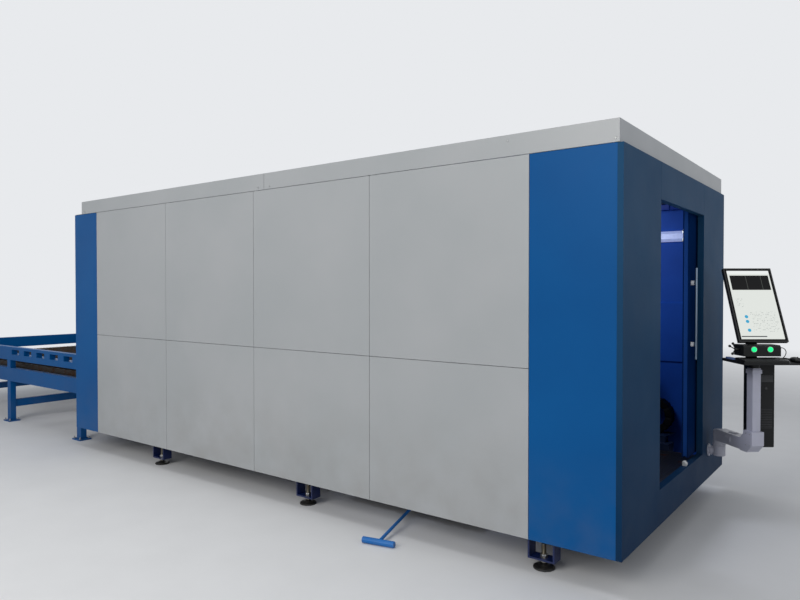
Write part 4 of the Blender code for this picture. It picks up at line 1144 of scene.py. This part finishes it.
def makeWheelCaps():
    value = wheelCapValues
    z, depth, radius = value["height"], value["depth"], value["radius"]
    for body, name, y in value["wheelsets"]:
        caps = []
        for x, side in value["faces"]:
            cap = startRod((x, y, z), (x + side * depth, y, z), radius, 24)
            pushFaces(cap, facing((side, 0, 0)), 0.004, 0.0012)
            soften(cap, 0.0008, 2)
            caps.append(cap)
        finishPiece(joined(*caps), name, body, "fixingSteel")


# floor and sky

def makeFloor():
    value = studio
    finish = Finish("floorPaint", {"Roughness": 0.8, "Specular IOR Level": 0.15})
    tone = finish.mix(finish.noise(3, 4.0), tint(value["floorColour"]), tint(value["floorWorn"]))
    finish.feed("Base Color", tone)
    # the camera sees the floor fade into the sky
    place = finish.node("ShaderNodeMapping", {}, {"Vector": finish.place(), "Location": value["floorShift"]})
    reach = finish.node("ShaderNodeVectorMath", {"operation": "LENGTH"}, {0: place}, output="Value")
    seen = finish.node("ShaderNodeLightPath", output="Is Camera Ray")
    far = finish.fade(reach, *value["fadeSpan"]) * seen
    near = Wire(finish, finish.shader.outputs[0])
    pale = finish.node("ShaderNodeEmission", {}, {"Color": tint(value["skyColour"]), "Strength": 1.0})
    blend = finish.node("ShaderNodeMixShader", {}, {0: far, 1: near, 2: pale})
    finish.tree.links.new(blend.socket, finish.tree.nodes["Material Output"].inputs["Surface"])
    bpy.ops.object.select_all(action="DESELECT")
    bpy.ops.mesh.primitive_plane_add(size=value["floorSize"], location=(0, 0, -0.0005))
    floor = bpy.context.object
    floor.name = "studioFloor"
    floor.data.materials.append(finish.material)


def makeWorld():
    # camera, mirror and clear rays see the sky colour, other rays the softer light
    world = bpy.data.worlds.new("studioWorld")
    scene.world = world
    world.use_nodes = True
    tree = world.node_tree
    lit = tree.nodes["Background"]
    lit.inputs["Color"].default_value = tint(studio["lightColour"])
    lit.inputs["Strength"].default_value = studio["worldStrength"]
    shown = tree.nodes.new("ShaderNodeBackground")
    shown.inputs["Color"].default_value = tint(studio["skyColour"])
    ray = tree.nodes.new("ShaderNodeLightPath")
    share = ray.outputs["Is Camera Ray"]
    for kind in ("Is Glossy Ray", "Is Transmission Ray"):
        both = tree.nodes.new("ShaderNodeMath")
        both.operation = "MAXIMUM"
        tree.links.new(share, both.inputs[0])
        tree.links.new(ray.outputs[kind], both.inputs[1])
        share = both.outputs[0]
    blend = tree.nodes.new("ShaderNodeMixShader")
    for socket, wanted in zip(blend.inputs, (share, lit.outputs[0], shown.outputs[0])):
        tree.links.new(wanted, socket)
    tree.links.new(blend.outputs[0], tree.nodes["World Output"].inputs["Surface"])


setCamera()
setLamps()
makeFloor()
makeWorld()
print("camera, lamps and stage set")

finishes = makeFinishes()
dressNodes()
print("finishes made")

makeFootDetails()
makeStepPlate()
makeDoorwayPieces()
print("foot and doorway pieces modelled")

makeKeyboardKeys()
makeHandWheel()
makeCable()
makeTrayItems()
makeArmDetails()
makeCaseDetails()
makeMonitorBack()
print("console pieces modelled")

makeHandleBosses()
makeScrews()
makePlugs()
makeSlatTeeth()
makeAnchorBolts()
print("cabin, pallet and table pieces modelled")

makeCrossRack()
makeDrives()
makeHeadFittings()
makeTrayRibs()
makeWheelCaps()
print("gantry and trolley pieces modelled")
